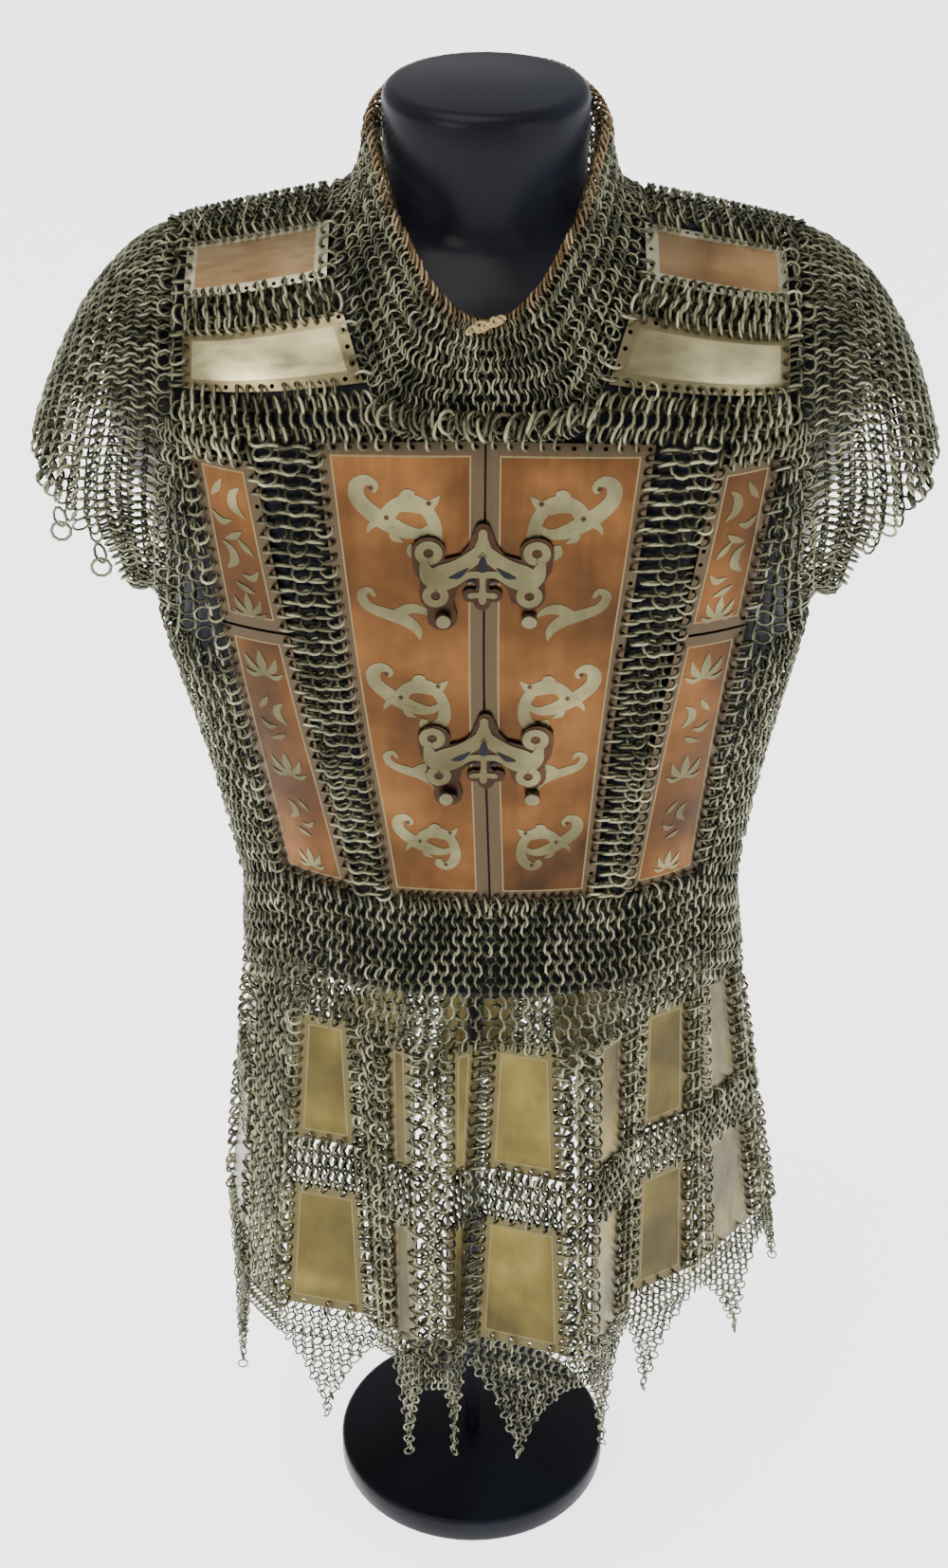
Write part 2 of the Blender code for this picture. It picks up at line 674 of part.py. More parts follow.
def form_measure(x, y, z):
    """Under 1 inside the dress form: its torso, shoulder ends and neck, blended."""
    half, front, back, power, centre = section(z, FORM_LIFT)
    depth = front if y < 0 else back
    across = abs(x - centre) / half
    if z <= LINK:
        torso = (across ** power + (abs(y) / depth) ** power) ** (1 / power)
    elif across < 1:
        reach = depth * (1 - across ** power) ** (1 / power)
        end = max(abs(x - centre) - SHOULDER_END, 0.0) / SHOULDER_END_RUN
        rise = ridge_height(x - centre) + FORM_LIFT - LINK - SHOULDER_END_FALL * end * end
        torso = math.hypot(y / reach, (z - LINK) / rise) if rise > 0 else FAR
    else:
        torso = FAR
    stump_x = (abs(x - centre) - STUMP_CENTRE[0]) / STUMP_SIZE[0]
    stump_z = (z - STUMP_CENTRE[1]) / STUMP_SIZE[2]
    stump = math.sqrt(stump_x ** 2 + (y / STUMP_SIZE[1]) ** 2 + stump_z ** 2)
    neck = FAR
    if z > NECK_FOOT:
        rise = min(max((z - NECK_WAIST_HEIGHT) / (NECK_TOP - NECK_WAIST_HEIGHT), 0.0), 1.0)
        radius = NECK_WAIST + (NECK_RADIUS - NECK_WAIST) * rise
        neck = math.hypot(x - NECK_X, y) / radius
    total = sum(max(part, 0.01) ** -BLEND_POWER for part in (torso, stump, neck))
    return total ** (-1 / BLEND_POWER)


def form_loop(z):
    """Loop of the form's skin at a height, found along rays from the middle."""
    centre = section(z, 0.0)[4]
    loop = []
    for i in range(FORM_TURNS):
        turn = 2 * math.pi * i / FORM_TURNS
        ray = Vector((math.sin(turn) * FORM_STRETCH, -math.cos(turn))).normalized()
        near, far = 0.0, LONGEST_RAY
        for _ in range(RAY_HALVINGS):
            middle = (near + far) / 2
            if form_measure(centre + ray.x * middle, ray.y * middle, z) < 1:
                near = middle
            else:
                far = middle
        loop.append(Vector((centre + ray.x * near, ray.y * near, z)))
    return loop


def shrunk(loop, inset, z):
    """The loop drawn in towards its middle and set at another height."""
    middle = sum(loop, Vector()) / len(loop)
    made = []
    for point in loop:
        out = point - middle
        drawn = middle + out * (1 - inset / out.length)
        made.append(Vector((drawn.x, drawn.y, z)))
    return made


def rounded_end(loop, z_end, radius, steps):
    """Loops that round a flat end's edge, from the side wall to the face."""
    toward = 1 if z_end > loop[0].z else -1
    loops = []
    for i in range(steps + 1):
        angle = math.pi / 2 * i / steps
        inset = radius * (1 - math.cos(angle))
        loops.append(shrunk(loop, inset, z_end - toward * radius * (1 - math.sin(angle))))
    return loops


def dress_form(finish, group):
    loops = [form_loop(z) for z in FORM_HEIGHTS]
    bottom = list(reversed(rounded_end(loops[0], FORM_BOTTOM, FORM_EDGE, 2)))
    top = rounded_end(loops[-1], NECK_TOP, NECK_EDGE, 3)
    stack = bottom + loops[1:] + top
    shape = bmesh.new()
    rings = [[shape.verts.new(point) for point in loop] for loop in stack]
    for low, high in zip(rings, rings[1:]):
        for i in range(FORM_TURNS):
            j = (i + 1) % FORM_TURNS
            shape.faces.new((low[i], low[j], high[j], high[i]))
    shape.faces.new(list(reversed(rings[0])))
    shape.faces.new(rings[-1])
    bmesh.ops.recalc_face_normals(shape, faces=shape.faces)
    mesh = bpy.data.meshes.new("dress_form")
    shape.to_mesh(mesh)
    shape.free()
    mesh.materials.append(finish)
    made = bpy.data.objects.new("dress_form", mesh)
    group.objects.link(made)
    return made


def cylinder(name, radius, bottom, top, sides, edge, finish, group):
    """Upright cylinder on the Z axis, with its edges rounded by edge."""
    shape = bmesh.new()
    bmesh.ops.create_cone(shape, cap_ends=True, segments=sides, radius1=radius, radius2=radius,
                          depth=top - bottom)
    mesh = bpy.data.meshes.new(name)
    shape.to_mesh(mesh)
    shape.free()
    mesh.materials.append(finish)
    made = bpy.data.objects.new(name, mesh)
    made.location = (0.0, 0.0, (bottom + top) / 2)
    group.objects.link(made)
    if edge:
        bevel = made.modifiers.new("edge", "BEVEL")
        bevel.width = edge
        bevel.segments = 2
        bevel.limit_method = "ANGLE"
    return made


def arc(x, z, radius, start, end, steps):
    """Points of an arc, angles in degrees from +X towards +Z."""
    return [(x + radius * math.cos(math.radians(a)), z + radius * math.sin(math.radians(a)))
            for a in spread(start, end, steps)]


def clasp_outline():
    """Outline of the clasp's plate in millimetres: two scrolled arms, a finial, a pendant, a lug."""
    left = arc(0.0, 22.0, 4.2, 90, 170, 3) + [(-6.0, 17.5), (-7.6, 12.6), (-12.0, 6.6)]
    left += arc(-28.9, 8.3, 9.3, -28, 190, 9) + [(-36.8, -3.0), (-33.2, -9.6)]
    lobe_end = [(-15.6, -22.6), (-13.0, -13.6), (-9.2, -9.8), (-4.8, -9.4), (-2.4, -12.4)]
    pendant = arc(-6.6, -18.2, 4.3, 58, 290, 6) + arc(0.0, -23.0, 4.4, 195, 270, 3)
    lobe = arc(-25.2, -18.4, 8.8, 162, 232, 3)
    lug = arc(-21.6, -32.0, 8.3, 150, 390, 8)
    plain_lobe = arc(-25.2, -18.4, 8.8, 162, 325, 6)
    full_left = left + lobe + lug + lobe_end + pendant
    full_right = left + plain_lobe + lobe_end + pendant
    mirrored = [(-x, z) for x, z in reversed(full_right)]
    return full_left + mirrored[1:-1]


def chest_frame(height, shift, lift):
    """Matrix that stands a flat outline on the chest at a height, lift off the mail's middle."""
    spot = coat_point(1, 0.0, height)
    up = (coat_point(1, 0.0, height + 0.02) - coat_point(1, 0.0, height - 0.02)).normalized()
    right = Vector((1.0, 0.0, 0.0))
    out = right.cross(up)
    turned = Matrix((right, up, out)).transposed().to_4x4()
    return Matrix.Translation(spot + right * shift + out * lift) @ turned


def clasp(label, finish, group, cutters):
    lift = PLATE_WALL / 2 + CLASP_GAP + CLASP_WALL / 2
    place = chest_frame(CLASP_HEIGHTS[label], CLASP_SHIFT[label], lift)
    flat = bpy.data.curves.new("clasp_outline_" + label, "CURVE")
    flat.dimensions = "2D"
    flat.fill_mode = "BOTH"
    flat.extrude = CLASP_WALL / 2
    outline = clasp_outline()
    spline = flat.splines.new("POLY")
    spline.points.add(len(outline) - 1)
    for point, (x, z) in zip(spline.points, outline):
        point.co = (x / 1000, z / 1000, 0.0, 1.0)
    spline.use_cyclic_u = True
    drawn = bpy.data.objects.new("clasp_outline_" + label, flat)
    group.objects.link(drawn)
    bpy.context.view_layer.update()
    mesh = bpy.data.meshes.new_from_object(drawn.evaluated_get(bpy.context.evaluated_depsgraph_get()))
    bpy.data.objects.remove(drawn, do_unlink=True)
    shape = bmesh.new()
    shape.from_mesh(mesh)
    bmesh.ops.remove_doubles(shape, verts=shape.verts, dist=0.00001)
    bmesh.ops.recalc_face_normals(shape, faces=shape.faces)
    shape.to_mesh(mesh)
    shape.free()
    mesh.materials.clear()
    mesh.materials.append(finish)
    made = bpy.data.objects.new("clasp_" + label, mesh)
    made.matrix_world = place
    group.objects.link(made)
    pin = cylinder("pivot_pin_" + label, PIN_RADIUS, 0.0, PIN_HEIGHT, 16, 0.0, finish, cutters)
    pin.matrix_world = place @ Matrix.Translation((PIN_PLACE[0], PIN_PLACE[1], PIN_HEIGHT / 2))
    pin.hide_render = True
    pin.display_type = "WIRE"
    join = made.modifiers.new("pin", "BOOLEAN")
    join.operation = "UNION"
    join.object = pin
    stud = cylinder("stud_" + label, PIN_RADIUS, 0.0, PIN_HEIGHT, 16, 0.0006, finish, group)
    stud_place = chest_frame(CLASP_HEIGHTS[label] + STUD_PLACE[1], CLASP_SHIFT[label] + STUD_PLACE[0],
                             PLATE_WALL / 2 + STUD_GAP + PIN_HEIGHT / 2)
    stud.matrix_world = stud_place
    return made


def build():
    clear_scene()
    group = bpy.data.collections.new("plate and mail armour shirt")
    cutters = bpy.data.collections.new("cutters")
    bpy.context.scene.collection.children.link(group)
    bpy.context.scene.collection.children.link(cutters)
    black = material("black_paint", (0.012, 0.012, 0.014), 0.45, 0.0)
    mail = material("aged_mail", (0.20, 0.19, 0.13), 0.45, 0.9)
    collar = material("bronzed_mail", (0.22, 0.17, 0.10), 0.45, 0.9)
    copper = material("copper_plate", (0.45, 0.22, 0.12), 0.35, 0.9)
    nickel = material("nickel_brass", (0.48, 0.42, 0.30), 0.35, 0.9)
    pale = material("pale_plate", (0.60, 0.56, 0.48), 0.25, 0.9)
    brass = material("olive_brass", (0.36, 0.31, 0.17), 0.40, 0.9)
    cylinder("base_disc", BASE_RADIUS, 0.0, BASE_THICKNESS, 64, BASE_EDGE, black, group)
    cylinder("pole", POLE_RADIUS, BASE_THICKNESS + POLE_GAP, FORM_BOTTOM - POLE_GAP, 20, 0.0, black, group)
    dress_form(black, group)
    collar_mail(collar, group)
    back_mail(mail, group)
    waist_mail(mail, group)
    skirt_mail(mail, group)
    skirt_plates(brass, group)
    for side, label in ((1, "right"), (-1, "left")):
        front_mail(side, label, mail, group)
        yoke_mail(side, label, mail, group)
        sleeve_mail(side, label, mail, group)
        torso_plates(side, label, (copper, nickel, pale), group)
    for label in ("upper", "lower"):
        clasp(label, brass, group, cutters)


build()
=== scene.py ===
"""Looks of the plate and mail armour shirt on a limbless dress form.

Metres, +Z up, front towards -Y. Left and right are the sides as seen from the front.
The coat's surface is worked out here from the same sizes as its solids. Nets of rings and
drilled plates with inlay are laid on it.
"""
import math
import random

import bmesh
import bpy
from mathutils import Euler, Matrix, Vector
from mathutils.bvhtree import BVHTree


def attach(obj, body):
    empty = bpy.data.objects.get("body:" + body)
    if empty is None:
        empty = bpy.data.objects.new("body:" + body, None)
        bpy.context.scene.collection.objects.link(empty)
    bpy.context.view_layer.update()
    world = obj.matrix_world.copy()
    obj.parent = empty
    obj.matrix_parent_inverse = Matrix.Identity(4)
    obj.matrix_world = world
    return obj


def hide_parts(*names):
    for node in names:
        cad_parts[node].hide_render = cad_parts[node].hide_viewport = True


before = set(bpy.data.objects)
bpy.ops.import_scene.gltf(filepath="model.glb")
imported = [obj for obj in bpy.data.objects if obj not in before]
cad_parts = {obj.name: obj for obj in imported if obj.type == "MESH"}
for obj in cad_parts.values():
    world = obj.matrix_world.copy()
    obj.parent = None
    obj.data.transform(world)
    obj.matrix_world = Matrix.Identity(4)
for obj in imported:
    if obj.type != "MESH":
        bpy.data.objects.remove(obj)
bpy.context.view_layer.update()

BODY = "root"
random.seed(7)

# Camera: solved from the ellipses of the neck, the base and the pole's foot
CAMERA_PLACE = (-0.0018, -1.4644, 1.501)
CAMERA_PITCH = 32.7
CAMERA_ROLL = 0.414
CAMERA_LENS = 65.6

# Torso sections, from the skirt's seam up to the height where the shoulders curve over
TORSO = (
    # height, half_width, front_depth, back_depth, squareness, centre
    (0.452, 0.15, 0.112, 0.098, 2.3, 0.009),
    (0.5, 0.146, 0.101, 0.092, 2.3, 0.009),
    (0.54, 0.1475, 0.096, 0.09, 2.4, 0.008),
    (0.6, 0.159, 0.099, 0.095, 2.5, 0.006),
    (0.66, 0.1745, 0.106, 0.106, 2.6, 0.004),
    (0.72, 0.185, 0.112, 0.112, 2.8, 0.003),
    (0.78, 0.189, 0.116, 0.116, 3.0, 0.003),
    (0.83, 0.19, 0.116, 0.116, 3.0, 0.003),
)
CENTRE = TORSO[-1][5]
WAIST_TOP = 0.54
SIDE_DROP = 0.03
SINK_TOP = 0.648
LINK = 0.83
SHOULDER_ARC = 0.157
RIDGE = LINK + SHOULDER_ARC
RIDGE_NEAR = 0.081
RIDGE_NEAR_HEIGHT = 0.931
RIDGE_FALL = 0.19
SHOULDER_SAG = 0.012
SAG_START = 0.06
GIRTH_STEPS = 60

# Armhole and the lines where plates and nets end on the front
ARM_X = 0.17
ARM_BOTTOM = 0.702
ARM_BOTTOM_HALF = 0.02
FRONT_LOW = 0.54
FRONT_HIGH = 0.8457
LINES = {
    # name: (x at FRONT_LOW, x at FRONT_HIGH)
    "opening": (0.0014, 0.0014),
    "breast_outer": (0.061, 0.09),
    "side_inner": (0.078, 0.124),
    "side_outer": (0.123, 0.16),
}
SIDE_FRONT_TOP = 0.83
SIDE_SPLIT = 0.724
SIDE_PLATE_TOP = 0.686
SIDE_PLATE_HALF = 0.02
BACK_STRIP_HALF = 0.01
YOKE_LOW = 0.846
SHOULDER_ROWS = {"lower": (0.8735, 0.913), "upper": (0.931, 0.973)}
YOKE_INNER = (
    # unrolled_height, x
    (0.846, 0.052),
    (0.8735, 0.0625),
    (0.913, 0.0745),
    (0.931, 0.083),
    (0.987, 0.083),
)
SHOULDER_PLATE_OUTER = 0.161
WINDOW_GAP = 0.0009
CENTRE_GAP = 0.0006
PLATE_RAISE = 0.0008
NAPE_X = 0.083
SIDES = ((1, "right"), (-1, "left"))

# Where the cores lie that a normal points away from, and the step that gives a direction
CORE_HEIGHT = 0.8
ARM_CORE = 0.2
STEP = 0.004

# Collar: its foot on the coat and its free edge, from the centre front to the centre back
COLLAR = (
    # station, foot_x, foot_turn, edge_x, edge_y, edge_z, hug
    (0, 0.0, 9.9, 0.0, -0.098, 0.904, 0.0),
    (1, 0.03, 9.9, 0.014, -0.096, 0.908, 0.0),
    (2, 0.049, 12.0, 0.029, -0.088, 0.921, 0.1),
    (3, 0.059, 24.0, 0.039, -0.076, 0.936, 0.3),
    (4, 0.0685, 41.0, 0.048, -0.062, 0.95, 0.6),
    (5, 0.0805, 60.0, 0.057, -0.03, 0.968, 0.9),
    (6, 0.081, 90.0, 0.0605, 0.0, 0.983, 1.0),
    (7, 0.081, 114.0, 0.048, 0.04, 0.987, 1.0),
    (8, 0.07, 130.0, 0.03, 0.057, 0.99, 0.9),
    (9, 0.0, 130.0, 0.0, 0.064, 0.99, 0.8),
)
COLLAR_HUG = 0.7

# Sleeve: from the top of the armhole to the bottom, a bend point and a cuff point
SLEEVE = (
    # share, bend_x, bend_y, bend_z, cuff_x, cuff_y, cuff_z
    (0.0, 0.222, 0.0, 0.904, 0.249, 0.0, 0.806),
    (0.2, 0.22, 0.036, 0.892, 0.248, 0.034, 0.803),
    (0.4, 0.213, 0.066, 0.865, 0.241, 0.058, 0.793),
    (0.58, 0.203, 0.078, 0.825, 0.228, 0.068, 0.779),
    (0.76, 0.192, 0.074, 0.777, 0.208, 0.066, 0.757),
    (0.9, 0.19, 0.048, 0.732, 0.198, 0.046, 0.726),
    (1.0, 0.193, 0.0, 0.703, 0.2, 0.0, 0.697),
)
SLEEVE_TUCK = {"left": 0.008, "right": 0.0}

# Skirt posts, from the front opening round by the right, the back and the left: the two
# edges of each plate in turn, at the waist seam and at the lower plates' bottom edge
SKIRT = (
    # x_top, y_top, x_hem, y_hem
    (0.008, -0.113, -0.001, -0.124),
    (0.051, -0.123, 0.061, -0.143),
    (0.07, -0.117, 0.074, -0.14),
    (0.092, -0.095, 0.093, -0.104),
    (0.099, -0.084, 0.1, -0.086),
    (0.132, -0.064, 0.141, -0.06),
    (0.138, -0.056, 0.152, -0.05),
    (0.157, -0.03, 0.188, -0.006),
    (0.16, -0.014, 0.198, 0.012),
    (0.157, 0.029, 0.194, 0.068),
    (0.15, 0.043, 0.183, 0.084),
    (0.112, 0.079, 0.13, 0.118),
    (0.095, 0.087, 0.112, 0.129),
    (0.048, 0.099, 0.052, 0.144),
    (0.03, 0.097, 0.034, 0.136),
    (-0.02, 0.097, -0.03, 0.138),
    (-0.038, 0.098, -0.048, 0.143),
    (-0.082, 0.084, -0.1, 0.118),
    (-0.097, 0.076, -0.116, 0.104),
    (-0.131, 0.043, -0.156, 0.056),
    (-0.14, 0.028, -0.164, 0.036),
    (-0.134, -0.041, -0.147, -0.062),
    (-0.108, -0.085, -0.124, -0.093),
    (-0.073, -0.095, -0.064, -0.107),
    (-0.055, -0.108, -0.051, -0.117),
    (-0.036, -0.121, -0.033, -0.145),
    (-0.018, -0.122, -0.017, -0.144),
    (0.004, -0.113, -0.006, -0.127),
)
SKIRT_TOP = 0.452
UPPER_PLATE_BOTTOM = 0.357
LOWER_PLATE_TOP = 0.323
LOWER_PLATE_BOTTOM = 0.224
HEM_NOTCH = 0.2
SKIRT_GAP = 0.0013
HEM_TIPS = {4: 0.3, 20: 0.9, 26: 0.75}
DAG_SHOULDER = 0.022
DAG_DEPTH = 0.064

# Plates
PLATE_WALL = 0.0014
HOLE_INSET = 0.0027
HOLE_RADIUS = 0.0013

# Rings: radius of the ring's middle line, radius of its wire
RINGS = {
    "common": (0.005, 0.00088),
    "fine": (0.0032, 0.00066),
    "heavy": (0.0052, 0.00105),
    "link": (0.0047, 0.00098),
    "skirt": (0.0054, 0.0012),
}
# Leans of woven and of steep rings, lifts off the nets' middle, pitches along and down the rows
WOVEN_LEAN = 47
STEEP_LEAN = 60
HEM_LEAN = 42
WOVEN_LIFT = 0.0024
HEAVY_LIFT = 0.003
COMMON_PITCHES = (0.0066, 0.007)
BACK_PITCHES = (0.0068, 0.0072)
SLEEVE_PITCH = 0.0064
WAIST_PITCH = 0.0066
RIM_PITCH = 0.0042
DAG_PITCH = 0.0045
DAG_FALL = 0.005
# Shake of a ring's turn in radians, usual and tight, and the first seed of the rings' tones
JITTER = 0.06
TIGHT = 0.05
FIRST_SEED = 11
# Rings through the plates' holes: share that is lost, and lean in degrees
LOST_LINKS = 0.06
LINK_LEAN = 28.0
# Shares of the sleeve's edge where rings dangle, and the bundle of rings below the collar
HANGING = {"left": (0.14, 0.24), "right": ()}
BUNDLE_RINGS = 34
BUNDLE_HALF = 0.056

# Finishes: how much brighter than its base a plate gets, how far in its border counts, greys
GLOW = 2.1
RIM_REACH = 0.014
WHITE, GREY, BLACK = (1.0, 1.0, 1.0), (0.45, 0.45, 0.45), (0.0, 0.0, 0.0)

# Clasps: x and height of their middle, y near the chest, pin head (its place in millimetres)
CLASPS = {"clasp_upper": (0.002, 0.775), "clasp_lower": (0.0035, 0.6525)}
CLASP_FRONT = -0.118
PIN_PLACE = (-21.0, -32.5)
PIN_RADIUS = 0.0043
PIN_DEPTH = 0.0012

TWINE_LOOPS = (
    # x, y, z, loop_radius, turn
    (0.001, -0.103, 0.906, 0.004, 0.3),
    (0.006, -0.104, 0.908, 0.0036, 1.3),
    (-0.004, -0.1035, 0.9045, 0.003, 2.2),
    (0.01, -0.1035, 0.9105, 0.0022, 0.9),
    (0.003, -0.1045, 0.907, 0.0024, 2.9),
    (0.008, -0.1048, 0.9095, 0.0028, 0.1),
)
TWINE_RADIUS = 0.0011
TWINE_STEPS = 12

LAMPS = (
    # name, place, aim, size, power, colour
    ("overhead", (-0.5, -0.4, 2.9), (0.0, 0.0, 0.7), 1.6, 38.0, (1.0, 0.98, 0.95)),
    ("key", (-1.8, -2.2, 1.9), (0.0, 0.0, 0.6), 1.2, 34.0, (1.0, 0.97, 0.93)),
    ("fill", (2.0, -1.8, 1.4), (0.0, 0.0, 0.6), 1.4, 18.0, (0.94, 0.97, 1.0)),
)


def smooth_row(table, key):
    """Row of a table at a value of its first column, on a smooth curve through the rows."""
    last = len(table) - 2
    at = 0
    while at < last and key > table[at + 1][0]:
        at += 1
    low, high = table[at], table[at + 1]
    before = table[max(at - 1, 0)]
    after = table[min(at + 2, len(table) - 1)]
    span = high[0] - low[0]
    t = min(max((key - low[0]) / span, 0.0), 1.0)
    t2, t3 = t * t, t * t * t
    row = []
    for column in range(len(low)):
        start, end = low[column], high[column]
        slope_low = (end - before[column]) / (high[0] - before[0]) * span
        slope_high = (after[column] - start) / (after[0] - low[0]) * span
        row.append((2 * t3 - 3 * t2 + 1) * start + (t3 - 2 * t2 + t) * slope_low
                   + (3 * t2 - 2 * t3) * end + (t3 - t2) * slope_high)
    return row


def section(z):
    """Half width, front depth, back depth, squareness and centre of the torso at a height."""
    return smooth_row(TORSO, min(max(z, TORSO[0][0]), LINK))[1:]


def quarter_point(share, front, z):
    """Point of a quarter of the torso's section, from its middle line (0) to the side (1)."""
    half, depth_front, depth_back, power, _ = section(z)
    angle = math.radians(90 * share * share * (3 - 2 * share))
    x = math.sin(angle) ** (2 / power) * half
    y = max(math.cos(angle), 0.0) ** (2 / power)
    return x, (-y * depth_front if front else y * depth_back)


girth_tables = {}


def girth_table(z):
    """Running girth, x and y along the front and the back quarter of the section at z."""
    key = round(z, 5)
    if key not in girth_tables:
        tables = []
        for front in (True, False):
            points = [quarter_point(i / GIRTH_STEPS, front, z) for i in range(GIRTH_STEPS + 1)]
            girth = [0.0]
            for a, b in zip(points, points[1:]):
                girth.append(girth[-1] + math.hypot(b[0] - a[0], b[1] - a[1]))
            tables.append((girth, points))
        girth_tables[key] = tables
    return girth_tables[key]


def look_up(keys, values, key):
    """Value at a key, on straight lines between rising keys."""
    at = 0
    while at < len(keys) - 2 and key > keys[at + 1]:
        at += 1
    t = min(max((key - keys[at]) / (keys[at + 1] - keys[at]), 0.0), 1.0)
    return values[at] + (values[at + 1] - values[at]) * t


def half_girth(z):
    (front, _), (back, _) = girth_table(z)
    return front[-1] + back[-1]


def girth_at(key, z, column=0):
    """Girth in front where x (column 0) or y (column 1) has a value."""
    girth, points = girth_table(z)[0]
    return look_up([p[column] for p in points], girth, key)


def loop_xy(girth, z):
    front, back = girth_table(z)
    keys, points, key = front[0], front[1], girth
    if girth > front[0][-1]:
        keys, points, key = back[0], back[1], half_girth(z) - girth
    return look_up(keys, [p[0] for p in points], key), look_up(keys, [p[1] for p in points], key)


def shoulder_point(side, x, turn):
    """Point of the shoulder's arch at x from the centre: turn 0 front, 90 ridge, 180 back."""
    half, front, back, power, centre = section(LINK)
    reach = (1 - min(x / half, 1.0) ** power) ** (1 / power)
    angle = math.radians(turn)
    depth = front if turn < 90 else back
    rise = RIDGE_NEAR_HEIGHT - (abs(x) - RIDGE_NEAR) * RIDGE_FALL - LINK
    y = -depth * reach * math.cos(angle)
    return Vector((centre + side * x, y, LINK + rise * math.sin(angle)))


def coat_point(side, girth, h):
    """Point of the coat: side 1 right or -1 left, girth from the centre front, unrolled height."""
    if h <= LINK:
        x, y = loop_xy(girth, h)
        return Vector((section(h)[4] + side * x, y, h - side_drop(girth, h)))
    x, y = loop_xy(girth, LINK)
    turn = (h - LINK) / SHOULDER_ARC * 90
    sag = SHOULDER_SAG * (x - SAG_START) / (ARM_X - SAG_START)
    turn -= max(sag, 0.0) * math.sin(math.radians(2 * turn)) / SHOULDER_ARC * 90
    return shoulder_point(side, x, turn if y < 0 else 180 - turn)


def side_drop(girth, h):
    """How far the waist seam and what is near it hang lower at the sides."""
    if h >= SINK_TOP:
        return 0.0
    girth = min(girth, half_girth(h) - girth)
    start, end = line("side_outer")(h), side_line(h)
    share = min(max((girth - start) / (end - start), 0.0), 1.0)
    return SIDE_DROP * share * (SINK_TOP - h) / (SINK_TOP - WAIST_TOP)


def line(name):
    """Girth of a named front line at a height."""
    rise = FRONT_HIGH - FRONT_LOW
    return lambda h: girth_at(mix(*LINES[name], (h - FRONT_LOW) / rise), min(h, LINK))


def straight(x):
    return lambda h: girth_at(x, min(h, LINK))


def arm_line(h):
    """Girth of the armhole's edge: straight over the shoulder, rounded under the arm."""
    if h >= LINK:
        return girth_at(ARM_X, LINK)
    top = -loop_xy(girth_at(ARM_X, LINK), LINK)[1]
    fall = min((LINK - h) / (LINK - ARM_BOTTOM), 1.0)
    y = ARM_BOTTOM_HALF + (top - ARM_BOTTOM_HALF) * math.sqrt(1 - fall * fall)
    return girth_at(-y, h, 1)


def side_line(h):
    return girth_at(-SIDE_PLATE_HALF, h, 1)


def middle_line(h):
    return half_girth(min(h, LINK))


def yoke_line(h):
    """Girth of the yoke's edge along the collar."""
    heights = [row[0] for row in YOKE_INNER]
    return girth_at(look_up(heights, [row[1] for row in YOKE_INNER], h), LINK)


def behind(front_line):
    """The same line on the back, as far from the centre back as it is from the centre front."""
    return lambda h: half_girth(min(h, LINK)) - front_line(h)


def moved(a_line, distance):
    return lambda h: a_line(h) + distance


def mix(a, b, t):
    return a + (b - a) * t


def bent(a, bend, b, t):
    """Point of a curve from a to b that bends towards a third point."""
    return a * (1 - t) ** 2 + bend * (2 * t * (1 - t)) + b * (t * t)


def coat_patch(side, start, end, low, high):
    """Stretch of the coat: s runs between two lines, t runs up between two heights."""
    def place(s, t):
        h = mix(low, high, t)
        return coat_point(side, mix(start(h), end(h), s), h)
    return place


def armhole_table(side):
    """Rows of share, x, y, z round the armhole, from the ridge down the front to the bottom."""
    heights = [mix(RIDGE, ARM_BOTTOM, i / 40) for i in range(41)]
    points = [coat_point(side, arm_line(h), h) for h in heights]
    points.append(coat_point(side, girth_table(ARM_BOTTOM)[0][0][-1], ARM_BOTTOM))
    run = [0.0]
    for a, b in zip(points, points[1:]):
        run.append(run[-1] + (b - a).length)
    return [(r / run[-1], *p) for r, p in zip(run, points)]


def sleeve_patch(side, label):
    """The sleeve: s from 0 at the armpit over the front and the top (0.5) back to the armpit."""
    table = armhole_table(side)

    def place(s, t):
        share = abs(2 * s - 1)
        point = Vector(smooth_row(table, share)[1:])
        _, bend_x, bend_y, bend_z, cuff_x, cuff_y, cuff_z = smooth_row(SLEEVE, share)
        tuck = SLEEVE_TUCK[label] * (1 - share) ** 2
        bend = Vector((CENTRE + side * (bend_x - tuck), -bend_y, bend_z))
        cuff = Vector((CENTRE + side * cuff_x, -cuff_y, cuff_z))
        spot = bent(point, bend, cuff, t)
        if s > 0.5:
            spot.y = -spot.y
        return spot
    return place


def collar_patch(side):
    """The collar: s from the centre front to the centre back, t from its foot to its edge."""
    def place(s, t):
        station = s * COLLAR[-1][0]
        _, foot_x, foot_turn, edge_x, edge_y, edge_z, hug = smooth_row(COLLAR, station)
        foot = shoulder_point(side, foot_x, foot_turn)
        edge = Vector((CENTRE + side * edge_x, edge_y, edge_z))
        bend = foot.lerp(edge, 0.5)
        bend += (Vector((edge.x, edge.y, foot.z)) - bend) * (hug * COLLAR_HUG)
        return bent(foot, bend, edge, t)
    return place


def post_point(post, z):
    """Point of a skirt post, which may lie between two rows of the table, at a height."""
    first = min(max(int(math.floor(post)), 0), len(SKIRT) - 2)
    row = [mix(a, b, post - first) for a, b in zip(SKIRT[first], SKIRT[first + 1])]
    fall = (SKIRT_TOP - z) / (SKIRT_TOP - LOWER_PLATE_BOTTOM)
    return Vector((mix(row[0], row[2], fall), mix(row[1], row[3], fall), z))


def skirt_patch(start, end, high, low):
    """Stretch of the skirt: s between two posts, t down between two heights."""
    return lambda s, t: post_point(mix(start, end, s), mix(high, low, t))


